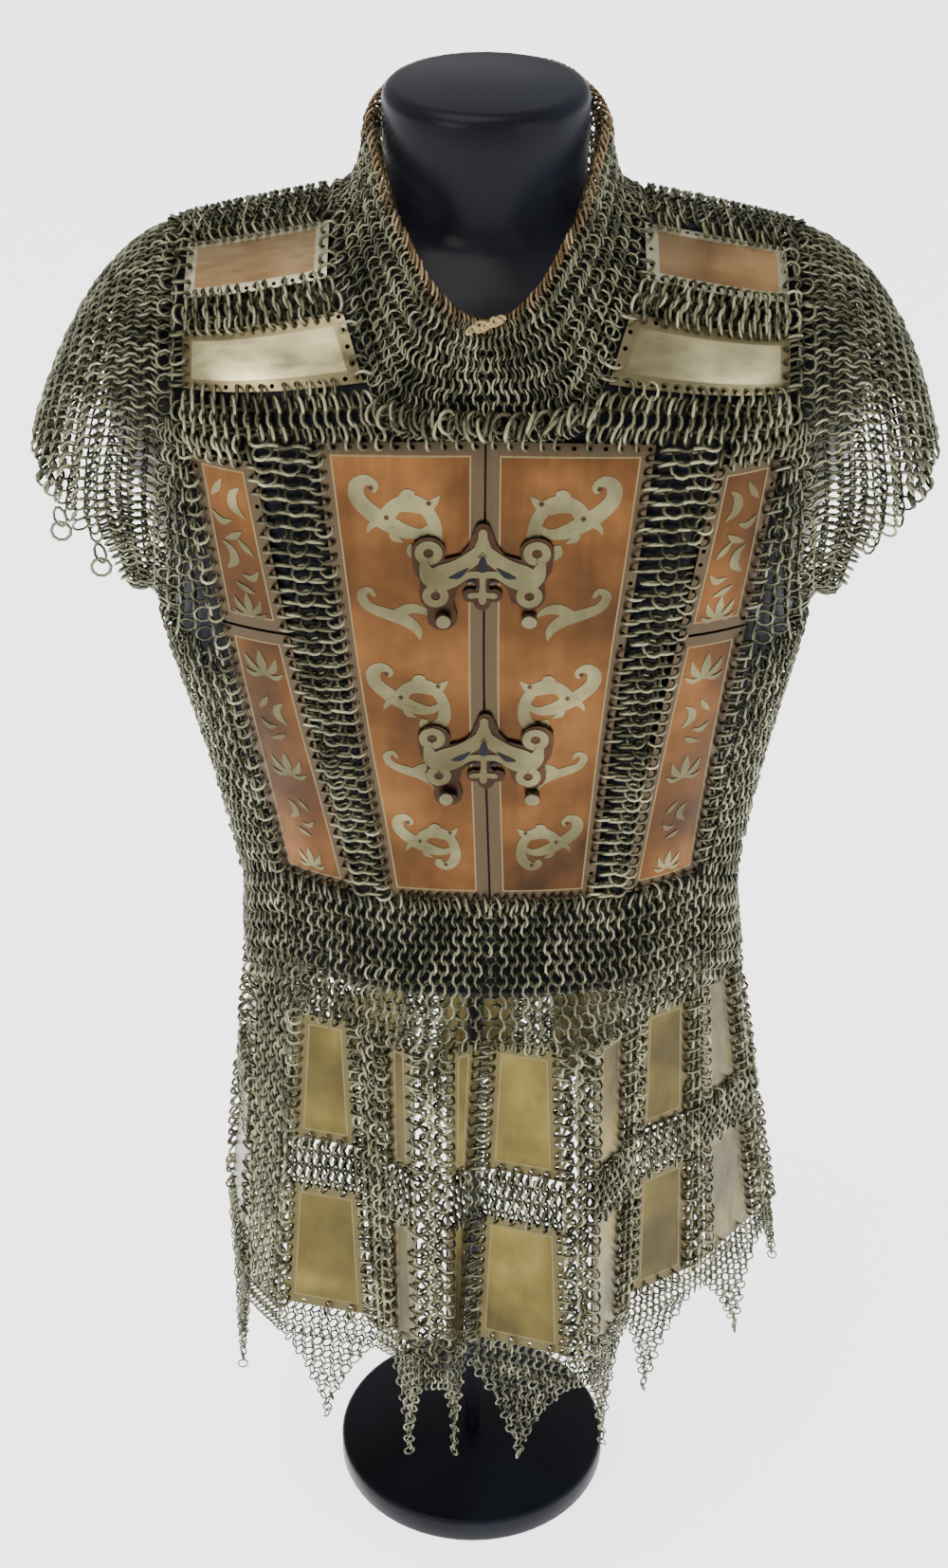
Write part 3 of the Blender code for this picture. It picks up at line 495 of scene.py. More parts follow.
def seam_ring(point):
    """Where the skirt's top edge passes, in the direction of a point from the middle."""
    middle = Vector((TORSO[0][5], 0.0))
    ray = Vector((point.x, point.y)) - middle
    for a, b in zip(SKIRT, SKIRT[1:] + SKIRT[:1]):
        start, end = Vector(a[:2]) - middle, Vector(b[:2]) - middle
        along = end - start
        cross = ray.cross(along)
        if abs(cross) < 1e-9:
            continue
        scale = start.cross(along) / cross
        place = start.cross(ray) / cross
        if scale > 0 and -1e-6 <= place <= 1 + 1e-6:
            return Vector((middle.x + ray.x * scale, middle.y + ray.y * scale, SKIRT_TOP))
    return Vector((point.x, point.y, SKIRT_TOP))


def waist_patch(side):
    """The belt of mail: s from the front opening to the centre back, t down to the skirt."""
    opening, middle = line("opening")(WAIST_TOP), half_girth(WAIST_TOP)
    inner = section(WAIST_TOP)

    def place(s, t):
        high = coat_point(side, mix(opening, middle, s), WAIST_TOP)
        low = seam_ring(high)
        z = mix(high.z, SKIRT_TOP, t)
        outer = section(z)
        x = (high.x - inner[4]) * outer[0] / inner[0] + outer[4]
        y = high.y * (outer[1] / inner[1] if high.y < 0 else outer[2] / inner[2])
        fall = t * t * t
        return Vector((mix(x, low.x, fall), mix(y, low.y, fall), z))
    return place


def torso_core(point):
    return Vector((CENTRE, 0.0, min(point.z, CORE_HEIGHT)))


def shoulder_core(point):
    return Vector((point.x, 0.0, CORE_HEIGHT))


def collar_core(point):
    return Vector((0.002, 0.0, point.z - 0.02))


def sleeve_core(point):
    return Vector((CENTRE + math.copysign(ARM_CORE, point.x), 0.0, CORE_HEIGHT))


def surface_frame(place, core, s, t):
    """Point of a patch with its directions along s and t and its outward normal."""
    s0, s1 = max(s - STEP, 0.0), min(s + STEP, 1.0)
    t0, t1 = max(t - STEP, 0.0), min(t + STEP, 1.0)
    point = place(s, t)
    along = (place(s1, t) - place(s0, t)) / (s1 - s0)
    up = (place(s, t1) - place(s, t0)) / (t1 - t0)
    normal = along.cross(up).normalized()
    if normal.dot(point - core(point)) < 0:
        normal.negate()
    return point, along, up, normal


def run_length(path, steps=10):
    """Length of a path whose value runs from 0 to 1, in straight steps."""
    points = [path(i / steps) for i in range(steps + 1)]
    return sum((b - a).length for a, b in zip(points, points[1:]))


# Meshes and pieces

def mesh_of(shape, name, *finishes):
    """Plain mesh of a bmesh, which is freed."""
    mesh = bpy.data.meshes.new(name)
    shape.to_mesh(mesh)
    shape.free()
    for finish in finishes:
        mesh.materials.append(finish)
    return mesh


def plain_mesh(name, data, change=None):
    """Mesh of an object made from data, once change has given it its modifiers."""
    made = bpy.data.objects.new(name, data)
    bpy.context.scene.collection.objects.link(made)
    if change:
        change(made)
    depsgraph = bpy.context.evaluated_depsgraph_get()
    mesh = bpy.data.meshes.new_from_object(made.evaluated_get(depsgraph))
    bpy.data.objects.remove(made, do_unlink=True)
    return mesh


def soften(mesh, degrees):
    mesh.shade_smooth()
    mesh.set_sharp_from_angle(angle=math.radians(degrees))


def piece(name, mesh, slot, *nodes):
    """A finished piece of the coat in the scene."""
    made = bpy.data.objects.new(name, mesh)
    bpy.context.scene.collection.objects.link(made)
    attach(made, BODY)
    if nodes:
        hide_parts(*nodes)
    return made


# Rings: a net is a list of (place, turn, size)

def ring_turn(long_way, plane_normal):
    """Quaternion that lays a ring's own X along long_way and its axis along plane_normal."""
    x = long_way.normalized()
    z = (plane_normal - x * plane_normal.dot(x)).normalized()
    return Matrix((x, z.cross(x), z)).transposed().to_quaternion()


def shaken(turn, amount=JITTER):
    shake = Euler([random.gauss(0.0, amount) for _ in range(3)])
    return turn @ shake.to_quaternion()


def counts(place, pitch_along, pitch_rows):
    """How many rows of rings, and rings in a row, fit on a patch."""
    width, height = run_length(lambda s: place(s, 0.5)), run_length(lambda t: place(0.5, t))
    return max(1, round(height / pitch_rows)), max(1, round(width / pitch_along))


def lay(net, place, core, rows, columns, lean, lift=0.0, size=1.0, pitch=None):
    """Woven rings: each row's rings lean along the row, and the next row's lean back.

    With a pitch, the rows keep that distance on each column and end where its cloth does.
    """
    angle = math.radians(lean)
    for row in range(rows):
        way = 1 if row % 2 else -1
        for column in range(columns):
            s = (column + 0.5 + 0.25 * way) / columns
            t = (row + 0.5) / rows
            if pitch:
                t = (row + 0.5) * pitch / (place(s, 1.0) - place(s, 0.0)).length
                if t > 1.0:
                    continue
            point, along, up, normal = surface_frame(place, core, s, t)
            axis = normal * math.cos(angle) - along.normalized() * (way * math.sin(angle))
            net.append((point + normal * lift, shaken(ring_turn(up, axis)), size))


def node(tree, kind, *inputs):
    """New node; its inputs are pairs of a name or number and a socket or a value."""
    made = tree.nodes.new(kind)
    fill(tree, made, *inputs)
    return made


def fill(tree, made, *inputs):
    for entry, value in inputs:
        if isinstance(value, bpy.types.NodeSocket):
            tree.links.new(value, made.inputs[entry])
        else:
            made.inputs[entry].default_value = value


def ring_tree():
    """Geometry Nodes: a ring of wire on each point, turned and sized by its attributes."""
    tree = bpy.data.node_groups.new("wire_rings", "GeometryNodeTree")
    for name, kind in (("Geometry", "Geometry"), ("Ring Radius", "Float"), ("Wire Radius", "Float"),
                       ("Ring Sides", "Int"), ("Wire Sides", "Int"), ("Seed", "Int"),
                       ("Material", "Material")):
        tree.interface.new_socket(name=name, in_out="INPUT", socket_type="NodeSocket" + kind)
    tree.interface.new_socket(name="Geometry", in_out="OUTPUT", socket_type="NodeSocketGeometry")
    given = tree.nodes.new("NodeGroupInput").outputs
    circle, wire = [node(tree, "GeometryNodeCurvePrimitiveCircle",
                         ("Resolution", given[part + " Sides"]),
                         ("Radius", given[part + " Radius"])).outputs["Curve"]
                    for part in ("Ring", "Wire")]
    tube = node(tree, "GeometryNodeCurveToMesh", ("Curve", circle), ("Profile Curve", wire))
    stored = {}
    for name, kind in (("turn", "QUATERNION"), ("size", "FLOAT")):
        read = node(tree, "GeometryNodeInputNamedAttribute", ("Name", name))
        read.data_type = kind
        stored[name] = read.outputs["Attribute"]
    copies = node(tree, "GeometryNodeInstanceOnPoints", ("Points", given["Geometry"]),
                  ("Instance", tube.outputs["Mesh"]), ("Rotation", stored["turn"]),
                  ("Scale", stored["size"]))
    tone = node(tree, "FunctionNodeRandomValue", ("Seed", given["Seed"]))
    keep = tree.nodes.new("GeometryNodeStoreNamedAttribute")
    keep.data_type, keep.domain = "FLOAT", "INSTANCE"
    fill(tree, keep, ("Name", "tone"), ("Geometry", copies.outputs["Instances"]),
         ("Value", tone.outputs[1]))
    shape = keep.outputs["Geometry"]
    for kind in ("RealizeInstances", "SetShadeSmooth", "SetMaterial"):
        last = node(tree, "GeometryNode" + kind, ("Geometry", shape))
        shape = last.outputs["Geometry"]
    fill(tree, last, ("Material", given["Material"]))
    node(tree, "NodeGroupOutput", ("Geometry", shape))
    return tree


def ring_mesh(net, name, kind, finish, sides, seed):
    """The net's points with rings of one kind on them, as a plain mesh."""
    spots = bpy.data.meshes.new(name + "_spots")
    spots.from_pydata([tuple(place) for place, _, _ in net], [], [])
    turns = spots.attributes.new("turn", "QUATERNION", "POINT")
    turns.data.foreach_set("value", [part for _, turn, _ in net for part in turn])
    sizes = spots.attributes.new("size", "FLOAT", "POINT")
    sizes.data.foreach_set("value", [size for _, _, size in net])
    values = {"Ring Radius": RINGS[kind][0], "Wire Radius": RINGS[kind][1], "Seed": seed,
              "Ring Sides": sides[0], "Wire Sides": sides[1], "Material": finish}

    def add_rings(points):
        modifier = points.modifiers.new("rings", "NODES")
        modifier.node_group = TREE
        for item in TREE.interface.items_tree:
            if item.in_out == "INPUT" and item.name in values:
                modifier[item.identifier] = values[item.name]
    return plain_mesh(name + "_spots", spots, add_rings)


# Materials

def new_material(name, colour, roughness, metallic):
    made = bpy.data.materials.new(name)
    made.use_nodes = True
    shader = made.node_tree.nodes["Principled BSDF"]
    shader.inputs["Base Color"].default_value = (*colour, 1.0)
    shader.inputs["Roughness"].default_value = roughness
    shader.inputs["Metallic"].default_value = metallic
    return made, made.node_tree, shader


def noise(tree, scale, detail, stretch=(1, 1, 1)):
    """Noise on Object coordinates, stretched along the axes."""
    coords = tree.nodes.new("ShaderNodeTexCoord").outputs["Object"]
    mapping = node(tree, "ShaderNodeMapping", ("Scale", stretch), ("Vector", coords))
    made = node(tree, "ShaderNodeTexNoise", ("Scale", scale), ("Detail", detail),
                ("Vector", mapping.outputs["Vector"]))
    return made.outputs["Fac"]


def ramp(tree, source, *stops):
    """Colour ramp: stops are (position, colour)."""
    made = node(tree, "ShaderNodeValToRGB", ("Fac", source))
    while len(made.color_ramp.elements) < len(stops):
        made.color_ramp.elements.new(0.5)
    for element, (position, colour) in zip(made.color_ramp.elements, stops):
        element.position = position
        element.color = (*colour, 1.0)
    return made.outputs["Color"]


def rgba(value):
    return value if isinstance(value, bpy.types.NodeSocket) else (*value, 1.0)


def blend(tree, factor, low, high, mode="MIX"):
    """Mixes two colours, each a socket or a colour."""
    made = tree.nodes.new("ShaderNodeMix")
    made.data_type, made.blend_type = "RGBA", mode
    fill(tree, made, (0, factor), (6, rgba(low)), (7, rgba(high)))
    return made.outputs[2]


def ranged(tree, source, *limits):
    """Map Range: limits are the source's low and high, then the result's."""
    labels = ("From Min", "From Max", "To Min", "To Max")
    made = node(tree, "ShaderNodeMapRange", ("Value", source), *zip(labels, limits))
    return made.outputs["Result"]


def attribute(tree, name):
    made = tree.nodes.new("ShaderNodeAttribute")
    made.attribute_name = name
    return made.outputs["Fac"]


def dress(tree, shader, colour, rough=None):
    """Links a colour, and a roughness if there is one, to the shader."""
    tree.links.new(colour, shader.inputs["Base Color"])
    if rough is not None:
        tree.links.new(rough, shader.inputs["Roughness"])


def bump(tree, shader, height, strength, distance):
    made = node(tree, "ShaderNodeBump", ("Strength", strength), ("Distance", distance),
                ("Height", height))
    tree.links.new(made.outputs["Normal"], shader.inputs["Normal"])


def ring_finish(name, dark, middle, light):
    """Old brass wire: each ring has its own tone, with dark grime in patches."""
    made, tree, shader = new_material(name, middle, 0.42, 0.85)
    own = ramp(tree, attribute(tree, "tone"), (0.0, dark), (0.5, middle), (1.0, light))
    grime = ranged(tree, noise(tree, 28.0, 3.0), 0.42, 0.62, 0.0, 0.55)
    rough = ranged(tree, noise(tree, 700.0, 2.0), 0.3, 0.7, 0.32, 0.54)
    dress(tree, shader, blend(tree, grime, own, dark), rough)
    return made


def plate_finish(name, base, worn, roughness, brush=(1, 1, 1), edge=None, border_line_and_highlight=None):
    """Sheet metal: brushed streaks and scratches, an edge band and a thin bright line along its
    inner side, which on the olive plates is a painted edge highlight.
    """
    made, tree, shader = new_material(name, base, roughness, 0.9)
    bright = [min(GLOW * part, 0.9) for part in base]
    field = ramp(tree, noise(tree, 11.0, 4.0), (0.37, worn), (0.51, base), (0.66, bright))
    streaks = ramp(tree, noise(tree, 60.0, 3.0, brush), (0.35, GREY), (0.65, WHITE))
    field = blend(tree, 0.35, field, streaks, "MULTIPLY")
    if edge:
        nearest = node(tree, "ShaderNodeMath", (0, attribute(tree, "rim_side")),
                       (1, attribute(tree, "rim_end")))
        nearest.operation = "MINIMUM"
        rim = ranged(tree, nearest.outputs[0], 0.0, RIM_REACH, 0.0, 1.0)
        band = ramp(tree, rim, (0.0, WHITE), (0.44, WHITE), (0.5, BLACK), (1.0, BLACK))
        field = blend(tree, band, field, edge)
        # Thin bright line just inside the edge band: on the olive skirt plates it is a painted edge
        # highlight.
        if border_line_and_highlight:
            thin_line_and_highlight_mask = ramp(tree, rim, (0.0, BLACK), (0.48, BLACK), (0.5, WHITE), (0.54, WHITE),
                        (0.56, BLACK))
            field = blend(tree, thin_line_and_highlight_mask, field, border_line_and_highlight)
    scratches = noise(tree, 180.0, 6.0, brush)
    dress(tree, shader, field,
          ranged(tree, scratches, 0.3, 0.7, roughness - 0.08, roughness + 0.14))
    bump(tree, shader, scratches, 0.18, 0.0004)
    return made


def black_finish():
    """Black satin paint with faint dust and rubbed spots."""
    made, tree, shader = new_material("black_satin", (0.005, 0.005, 0.007), 0.42, 0.0)
    shader.inputs["Specular IOR Level"].default_value = 0.1
    dust = noise(tree, 9.0, 5.0)
    colour = ramp(tree, dust, (0.4, (0.004, 0.004, 0.006)), (0.75, (0.01, 0.012, 0.019)))
    dress(tree, shader, colour, ranged(tree, dust, 0.35, 0.7, 0.3, 0.48))
    bump(tree, shader, noise(tree, 420.0, 2.0), 0.1, 0.0003)
    return made


RING_FINISHES = {
    # name, dark, middle and light tone
    "mail": ("aged_brass_rings", (0.038, 0.038, 0.022), (0.145, 0.145, 0.088),
             (0.31, 0.305, 0.195)),
    "heavy": ("thick_brass_rings", (0.045, 0.043, 0.024), (0.18, 0.172, 0.1), (0.35, 0.34, 0.21)),
    "bronze": ("bronzed_edge_rings", (0.06, 0.036, 0.016), (0.19, 0.125, 0.06), (0.33, 0.25, 0.14)),
    "link": ("link_rings", (0.05, 0.046, 0.026), (0.2, 0.19, 0.112), (0.37, 0.355, 0.22)),
}
PLATE_FINISHES = {
    # name, base, worn, roughness, brush, edge band, bright line inside it (a painted edge highlight
    # on the olive plates)
    "copper": ("inlaid_copper", (0.076, 0.032, 0.0095), (0.03, 0.014, 0.006), 0.27, (1, 1, 0.12),
               (0.052, 0.036, 0.02), (0.13, 0.105, 0.052)),
    "worn": ("worn_nickel_over_copper", (0.22, 0.125, 0.055), (0.3, 0.2, 0.1), 0.32, (0.3, 1, 1),
             (0.4, 0.37, 0.25)),
    "silver": ("inlay_silver", (0.105, 0.094, 0.047), (0.062, 0.05, 0.023), 0.36, (1, 1, 0.5)),
    "clasp": ("clasp_copper", (0.034, 0.016, 0.008), (0.022, 0.012, 0.007), 0.38),
    "brass": ("polished_brass", (0.125, 0.11, 0.062), (0.07, 0.058, 0.03), 0.32),
    "nickel": ("nickel_brass", (0.28, 0.245, 0.13), (0.16, 0.13, 0.062), 0.26, (0.3, 1, 1),
               (0.17, 0.14, 0.07)),
    "pale": ("pale_brass", (0.6, 0.56, 0.46), (0.5, 0.45, 0.34), 0.24, (1, 1, 0.2)),
    # Olive skirt plates: their last colour is a painted edge highlight, a thin bright line near
    # each edge.
    "olive": ("olive_brass", (0.09, 0.07, 0.019), (0.05, 0.038, 0.013), 0.3, (1, 1, 0.3),
              (0.08, 0.065, 0.028), (0.13, 0.108, 0.05)),
}
FINISH = {key: ring_finish(*row) for key, row in RING_FINISHES.items()}
FINISH.update({key: plate_finish(*row) for key, row in PLATE_FINISHES.items()})
FINISH["black"] = black_finish()


# Plates

class Plate:
    """A drilled plate in its window: across and up run from 0 to 1 over it."""

    def __init__(self, name, place, core, finish, slot, cells, drilled=(True,) * 4):
        self.name, self.place, self.core, self.finish = name, place, core, finish
        self.slot, self.cells, self.drilled, self.holes = slot, cells, drilled, []

    def width(self, b):
        return run_length(lambda a: self.place(a, b), 5)

    def height(self, a):
        return run_length(lambda b: self.place(a, b), 5)

    def build(self):
        """Outer skin with holes, then the wall's thickness."""
        left, right, low, high = self.drilled
        height = self.height(0.5)
        rows = grid_lines(height, self.cells[1], low, high)
        shape = bmesh.new()
        rims = [shape.verts.layers.float.new(name) for name in ("rim_side", "rim_end")]
        grid, columns = [], []
        for b in rows:
            width = self.width(b)
            columns.append(grid_lines(width, self.cells[0], left, right))
            grid.append([shape.verts.new(self.place(a, b)) for a in columns[-1]])
            for a, vert in zip(columns[-1], grid[-1]):
                vert[rims[0]], vert[rims[1]] = min(a, 1 - a) * width, min(b, 1 - b) * height
        across, up = len(columns[0]) - 1, len(rows) - 1
        for j in range(up):
            for i in range(across):
                corners = (grid[j][i], grid[j][i + 1], grid[j + 1][i + 1], grid[j + 1][i])
                for drilled, way in ((left and i == 0, (-1, 0)),
                                     (right and i == across - 1, (1, 0)),
                                     (low and j == 0, (0, -1)), (high and j == up - 1, (0, 1))):
                    if drilled:
                        a, b = sum(columns[j][i:i + 2]) / 2, sum(rows[j:j + 2]) / 2
                        self.drill(shape, rims, corners, a, b, way)
                        break
                else:
                    shape.faces.new(corners)

        def thicken(flat):
            solid = flat.modifiers.new("thickness", "SOLIDIFY")
            solid.thickness, solid.offset = PLATE_WALL, 0.0
        mesh = plain_mesh(self.name + "_skin", mesh_of(shape, self.name, self.finish), thicken)
        soften(mesh, 40)
        piece(self.name + "_metal", mesh, self.slot, self.name)

    def drill(self, shape, rims, corners, a, b, edge):
        """One cell with a round hole in it, and the hole's place for the link ring."""
        point, along, up, normal = surface_frame(self.place, self.core, a, b)
        x = along.normalized()
        y = (up - x * up.dot(x)).normalized()
        circle = []
        for k in range(8):
            angle = math.radians(225 + 45 * k)
            circle.append(shape.verts.new(
                point + x * (HOLE_RADIUS * math.cos(angle)) + y * (HOLE_RADIUS * math.sin(angle))))
            circle[-1][rims[0]] = circle[-1][rims[1]] = HOLE_INSET
        for m in range(4):
            shape.faces.new((corners[m], corners[(m + 1) % 4], circle[(2 * m + 2) % 8],
                             circle[2 * m + 1], circle[2 * m]))
        self.holes.append((point, x * edge[0] + y * edge[1], normal))


def grid_lines(length, count, low_drilled, high_drilled):
    """Lines over a length: a drilled edge gets a cell twice as wide as the hole's inset."""
    band = 2 * HOLE_INSET / length
    low, high = (band if low_drilled else 0.0), (1 - band if high_drilled else 1.0)
    cells = count - low_drilled - high_drilled
    inner = [mix(low, high, i / cells) for i in range(cells + 1)]
    return [0.0] * low_drilled + inner + [1.0] * high_drilled


def link_rings(plates, names):
    """A net with a ring through each hole of the plates, reaching out over the plate's edge."""
    net = []
    radius = RINGS["link"][0]
    for name in names:
        for point, way, normal in plates[name].holes:
            if random.random() < LOST_LINKS:
                continue
            tilt = math.radians(LINK_LEAN + random.gauss(0, 7))
            axis = way.cross(normal) * math.cos(tilt) + normal * math.sin(tilt)
            centre = point + way * (radius * 0.8) + normal * (radius * 0.4)
            net.append((centre, shaken(ring_turn(way, axis), TIGHT), 1.0))
    return net


# Ornament: strokes of (x, y, width) in millimetres, x away from the coat's opening and y up

LEAF_SCROLL = (
    ((-14.5, 15.5, 3.4), (-13.2, 18.8, 4.4), (-16.8, 21.6, 5.6), (-21.2, 18.6, 7.0),
     (-21.4, 11.4, 8.0), (-15.6, 4.2, 8.8), (-8.2, -1.2, 9.2), (-0.6, -5.4, 8.0), (7.4, -6.4, 5.0),
     (12.6, -3.0, 3.0)),
    ((-9.0, 1.5, 8.0), (-4.2, 7.6, 7.6), (2.6, 9.8, 9.6), (9.4, 8.2, 8.4), (13.6, 9.6, 5.0),
     (17.4, 13.8, 0.6)),
    ((9.0, 8.6, 7.0), (13.2, 2.6, 6.4), (15.0, -5.2, 6.6), (13.8, -13.0, 7.2), (8.6, -18.4, 7.0),
     (3.0, -17.0, 5.4), (3.6, -12.8, 3.6)),
    ((-10.4, 0.4, 5.0), (-15.8, -2.6, 3.4), (-18.4, -7.0, 0.6)),
    ((-4.0, -4.0, 6.0), (-5.0, -9.0, 4.6), (-1.0, -11.4, 0.8)),
    ((0.4, 9.0, 7.0), (2.0, 14.6, 5.4), (5.6, 15.2, 2.0)),
)
SCROLL_EYES = (
    ((-14.8, 15.9, 0.8), (-14.8, 17.3, 2.8), (-14.8, 18.7, 0.8)),
    ((12.2, 8.4, 0.8), (12.2, 9.8, 2.6), (12.2, 11.2, 0.8)),
    ((-8.4, 0.2, 0.8), (-8.4, 1.6, 2.6), (-8.4, 3.0, 0.8)),
    ((7.6, -18.8, 0.8), (7.6, -17.4, 2.8), (7.6, -16.0, 0.8)),
)
SMALL_SCROLL = (
    ((-11.0, 9.0, 1.6), (-13.5, 12.5, 3.0), (-17.0, 9.5, 4.2), (-14.5, 3.5, 5.0),
     (-7.0, 0.0, 6.0), (1.0, -3.0, 6.6), (6.5, -8.0, 4.6), (8.0, -14.0, 0.5)),
    ((-3.0, -1.0, 5.0), (4.0, 3.0, 5.4), (10.0, 2.0, 3.8), (14.5, -2.0, 0.5)),
)
CRESCENTS = (
    ((-7.0, 9.0, 0.6), (-3.0, 5.0, 3.8), (-2.5, -1.0, 4.6), (-7.0, -6.0, 0.6)),
    ((1.0, 12.0, 0.6), (4.5, 7.0, 3.2), (8.0, 3.0, 0.6)),
    ((0.0, -8.0, 0.6), (5.0, -9.5, 3.6), (9.0, -5.0, 0.6)),
    ((-4.0, -13.0, 0.6), (0.0, -16.0, 3.4), (5.0, -18.0, 0.6)),
)


def both(*stroke):
    """A stroke and its mirror image."""
    return stroke, tuple((-x, y, width) for x, y, width in stroke)


PALMETTE = (
    ((0.0, -9.0, 2.0), (0.0, 0.0, 5.6), (0.0, 9.0, 0.6)),
    *both((-1.0, -8.0, 2.0), (-6.5, -3.0, 4.2), (-9.5, 4.5, 0.6)),
    *both((-1.0, -8.0, 1.6), (-7.0, -9.5, 3.2), (-11.5, -6.0, 0.6)),
)


def round_stroke(x, y, radius, width, start):
    """Round stroke about a point, closed at the angle start."""
    turns = [math.radians(start + 45 * i) for i in range(9)]
    return [(x + radius * math.cos(turn), y + radius * math.sin(turn), width) for turn in turns]


CLASP_WING = (
    round_stroke(-28.9, 8.0, 5.1, 4.6, 270),
    round_stroke(-25.2, -18.4, 4.9, 4.4, 90),
    ((-31.8, 2.4, 4.0), (-29.2, -6.0, 8.6), (-26.0, -13.6, 5.0)),
    ((-29.0, -7.0, 9.0), (-21.0, -5.4, 13.0), (-13.0, -0.6, 10.0), (-6.0, 4.6, 9.0),
     (0.0, 9.5, 9.0)),
    ((-24.0, -13.5, 5.0), (-16.0, -10.5, 5.0), (-8.0, -5.5, 4.4), (0.0, -5.0, 4.0)),
)
CLASP_STEM = (
    ((0.0, 5.0, 12.0), (0.0, 11.5, 9.0), (0.0, 17.0, 5.2), (0.0, 21.0, 4.4), (0.0, 22.8, 1.6)),
    ((0.0, -4.0, 4.0), (0.0, -11.0, 3.0), (0.0, -17.0, 4.0), (0.0, -21.5, 4.0), (0.0, -23.6, 1.6)),
    ((-8.0, -18.2, 1.4), (-6.4, -18.2, 3.6), (-3.0, -17.8, 3.2), (0.0, -17.6, 3.6),
     (3.0, -17.8, 3.2), (6.4, -18.2, 3.6), (8.0, -18.2, 1.4)),
)
CLASP_DARK = (
    ((0.0, -3.6, 3.0), (0.0, 1.5, 4.6), (0.0, 6.4, 1.2)),
    *both((-18.0, -7.0, 0.6), (-13.0, -5.5, 3.4), (-7.5, -1.0, 0.6)),
    *both((-10.5, -11.5, 0.8), (-5.5, -9.5, 3.0), (-3.0, -13.0, 0.8)),
)
STROKE_STEPS = 5
STROKE_RISE = 0.00003
INLAY_LIFT = 0.00025
EYE_LIFT = 0.0004
# Rows of across, up, strokes, mirror and scale for each plate
BREAST_INLAY = ((0.5, 0.855, LEAF_SCROLL, -1, 1.1), (0.56, 0.665, SMALL_SCROLL, -1, 1.2),
                (0.5, 0.475, LEAF_SCROLL, -1, 1.02), (0.54, 0.31, SMALL_SCROLL, -1, 1.0),
                (0.49, 0.135, LEAF_SCROLL, -1, 0.86))
UPPER_INLAY = ((0.5, 0.74, CRESCENTS, 1, 1.2), (0.5, 0.42, CRESCENTS, -1, 1.15),
               (0.5, 0.15, PALMETTE, 1, 0.85))
LOWER_INLAY = ((0.5, 0.88, PALMETTE, 1, 1.0), (0.5, 0.68, CRESCENTS, 1, 1.05),
               (0.5, 0.48, PALMETTE, -1, 0.95), (0.5, 0.28, CRESCENTS, -1, 0.9),
               (0.5, 0.1, PALMETTE, 1, 0.75))
INLAYS = {"breast_plate_": BREAST_INLAY, "side_front_upper_plate_": UPPER_INLAY,
          "side_front_lower_plate_": LOWER_INLAY}


def stroke_rows(stroke):
    """Left, middle and right edge of a stroke, on a smooth curve through its points."""
    table = [(i, *row) for i, row in enumerate(stroke)]
    steps = (len(table) - 1) * STROKE_STEPS
    spots = [smooth_row(table, i / STROKE_STEPS) for i in range(steps + 1)]
    rows = []
    for at, (_, x, y, width) in enumerate(spots):
        before, after = spots[max(at - 1, 0)], spots[min(at + 1, len(spots) - 1)]
        way = Vector((after[1] - before[1], after[2] - before[2]))
        way = way.normalized() if way.length > 1e-6 else Vector((1.0, 0.0))
        side = Vector((-way.y, way.x)) * (max(width, 0.3) / 2)
        rows.append((Vector((x, y)) + side, Vector((x, y)), Vector((x, y)) - side))
    return rows


def add_strokes(shape, strokes, to_surface, mirror=1, scale=1.0):
    """Strips of faces for strokes, each a little above the one before it.

    The function to_surface turns millimetres and a rise into a point.
    """
    for number, stroke in enumerate(strokes):
        rise = STROKE_RISE * number
        rows = [[shape.verts.new(to_surface(mirror * scale * p.x, scale * p.y, rise)) for p in row]
                for row in stroke_rows(stroke)]
        for a, b in zip(rows, rows[1:]):
            for i in (0, 1):
                corners = (a[i], a[i + 1], b[i + 1], b[i])
                shape.faces.new(corners if mirror > 0 else corners[::-1])


def inlay_spot(plate, a, b, lift):
    """Turns millimetres from a spot (a, b) of a plate into a point just above its face."""
    width, height = plate.width(b) * 1000, plate.height(a) * 1000

    def spot(x, y, rise):
        across = min(max(a + x / width, 0.01), 0.99)
        point, _, _, normal = surface_frame(plate.place, plate.core, across, b + y / height)
        return point + normal * (PLATE_WALL / 2 + lift + rise)
    return spot


def make_inlays(plates):
    """Silver ornament on the copper plates of the front, a joined mesh for each plate."""
    for label in ("right", "left"):
        for kind, layout in INLAYS.items():
            name = kind + label
            shape = bmesh.new()
            for a, b, strokes, mirror, scale in layout:
                spot = inlay_spot(plates[name], a, b, INLAY_LIFT)
                add_strokes(shape, strokes, spot, mirror, scale)
                start = len(shape.faces)
                if strokes is LEAF_SCROLL:
                    spot = inlay_spot(plates[name], a, b, EYE_LIFT)
                    add_strokes(shape, SCROLL_EYES, spot, mirror, scale)
                shape.faces.ensure_lookup_table()
                for face in shape.faces[start:]:
                    face.material_index = 1
            mesh = mesh_of(shape, name + "_inlay", FINISH["silver"], FINISH["clasp"])
            mesh.shade_smooth()
            piece(name + "_inlay", mesh, "copper_plate")


def repaint(solid, finish):
    solid.data.materials.clear()
    solid.data.materials.append(FINISH[finish])


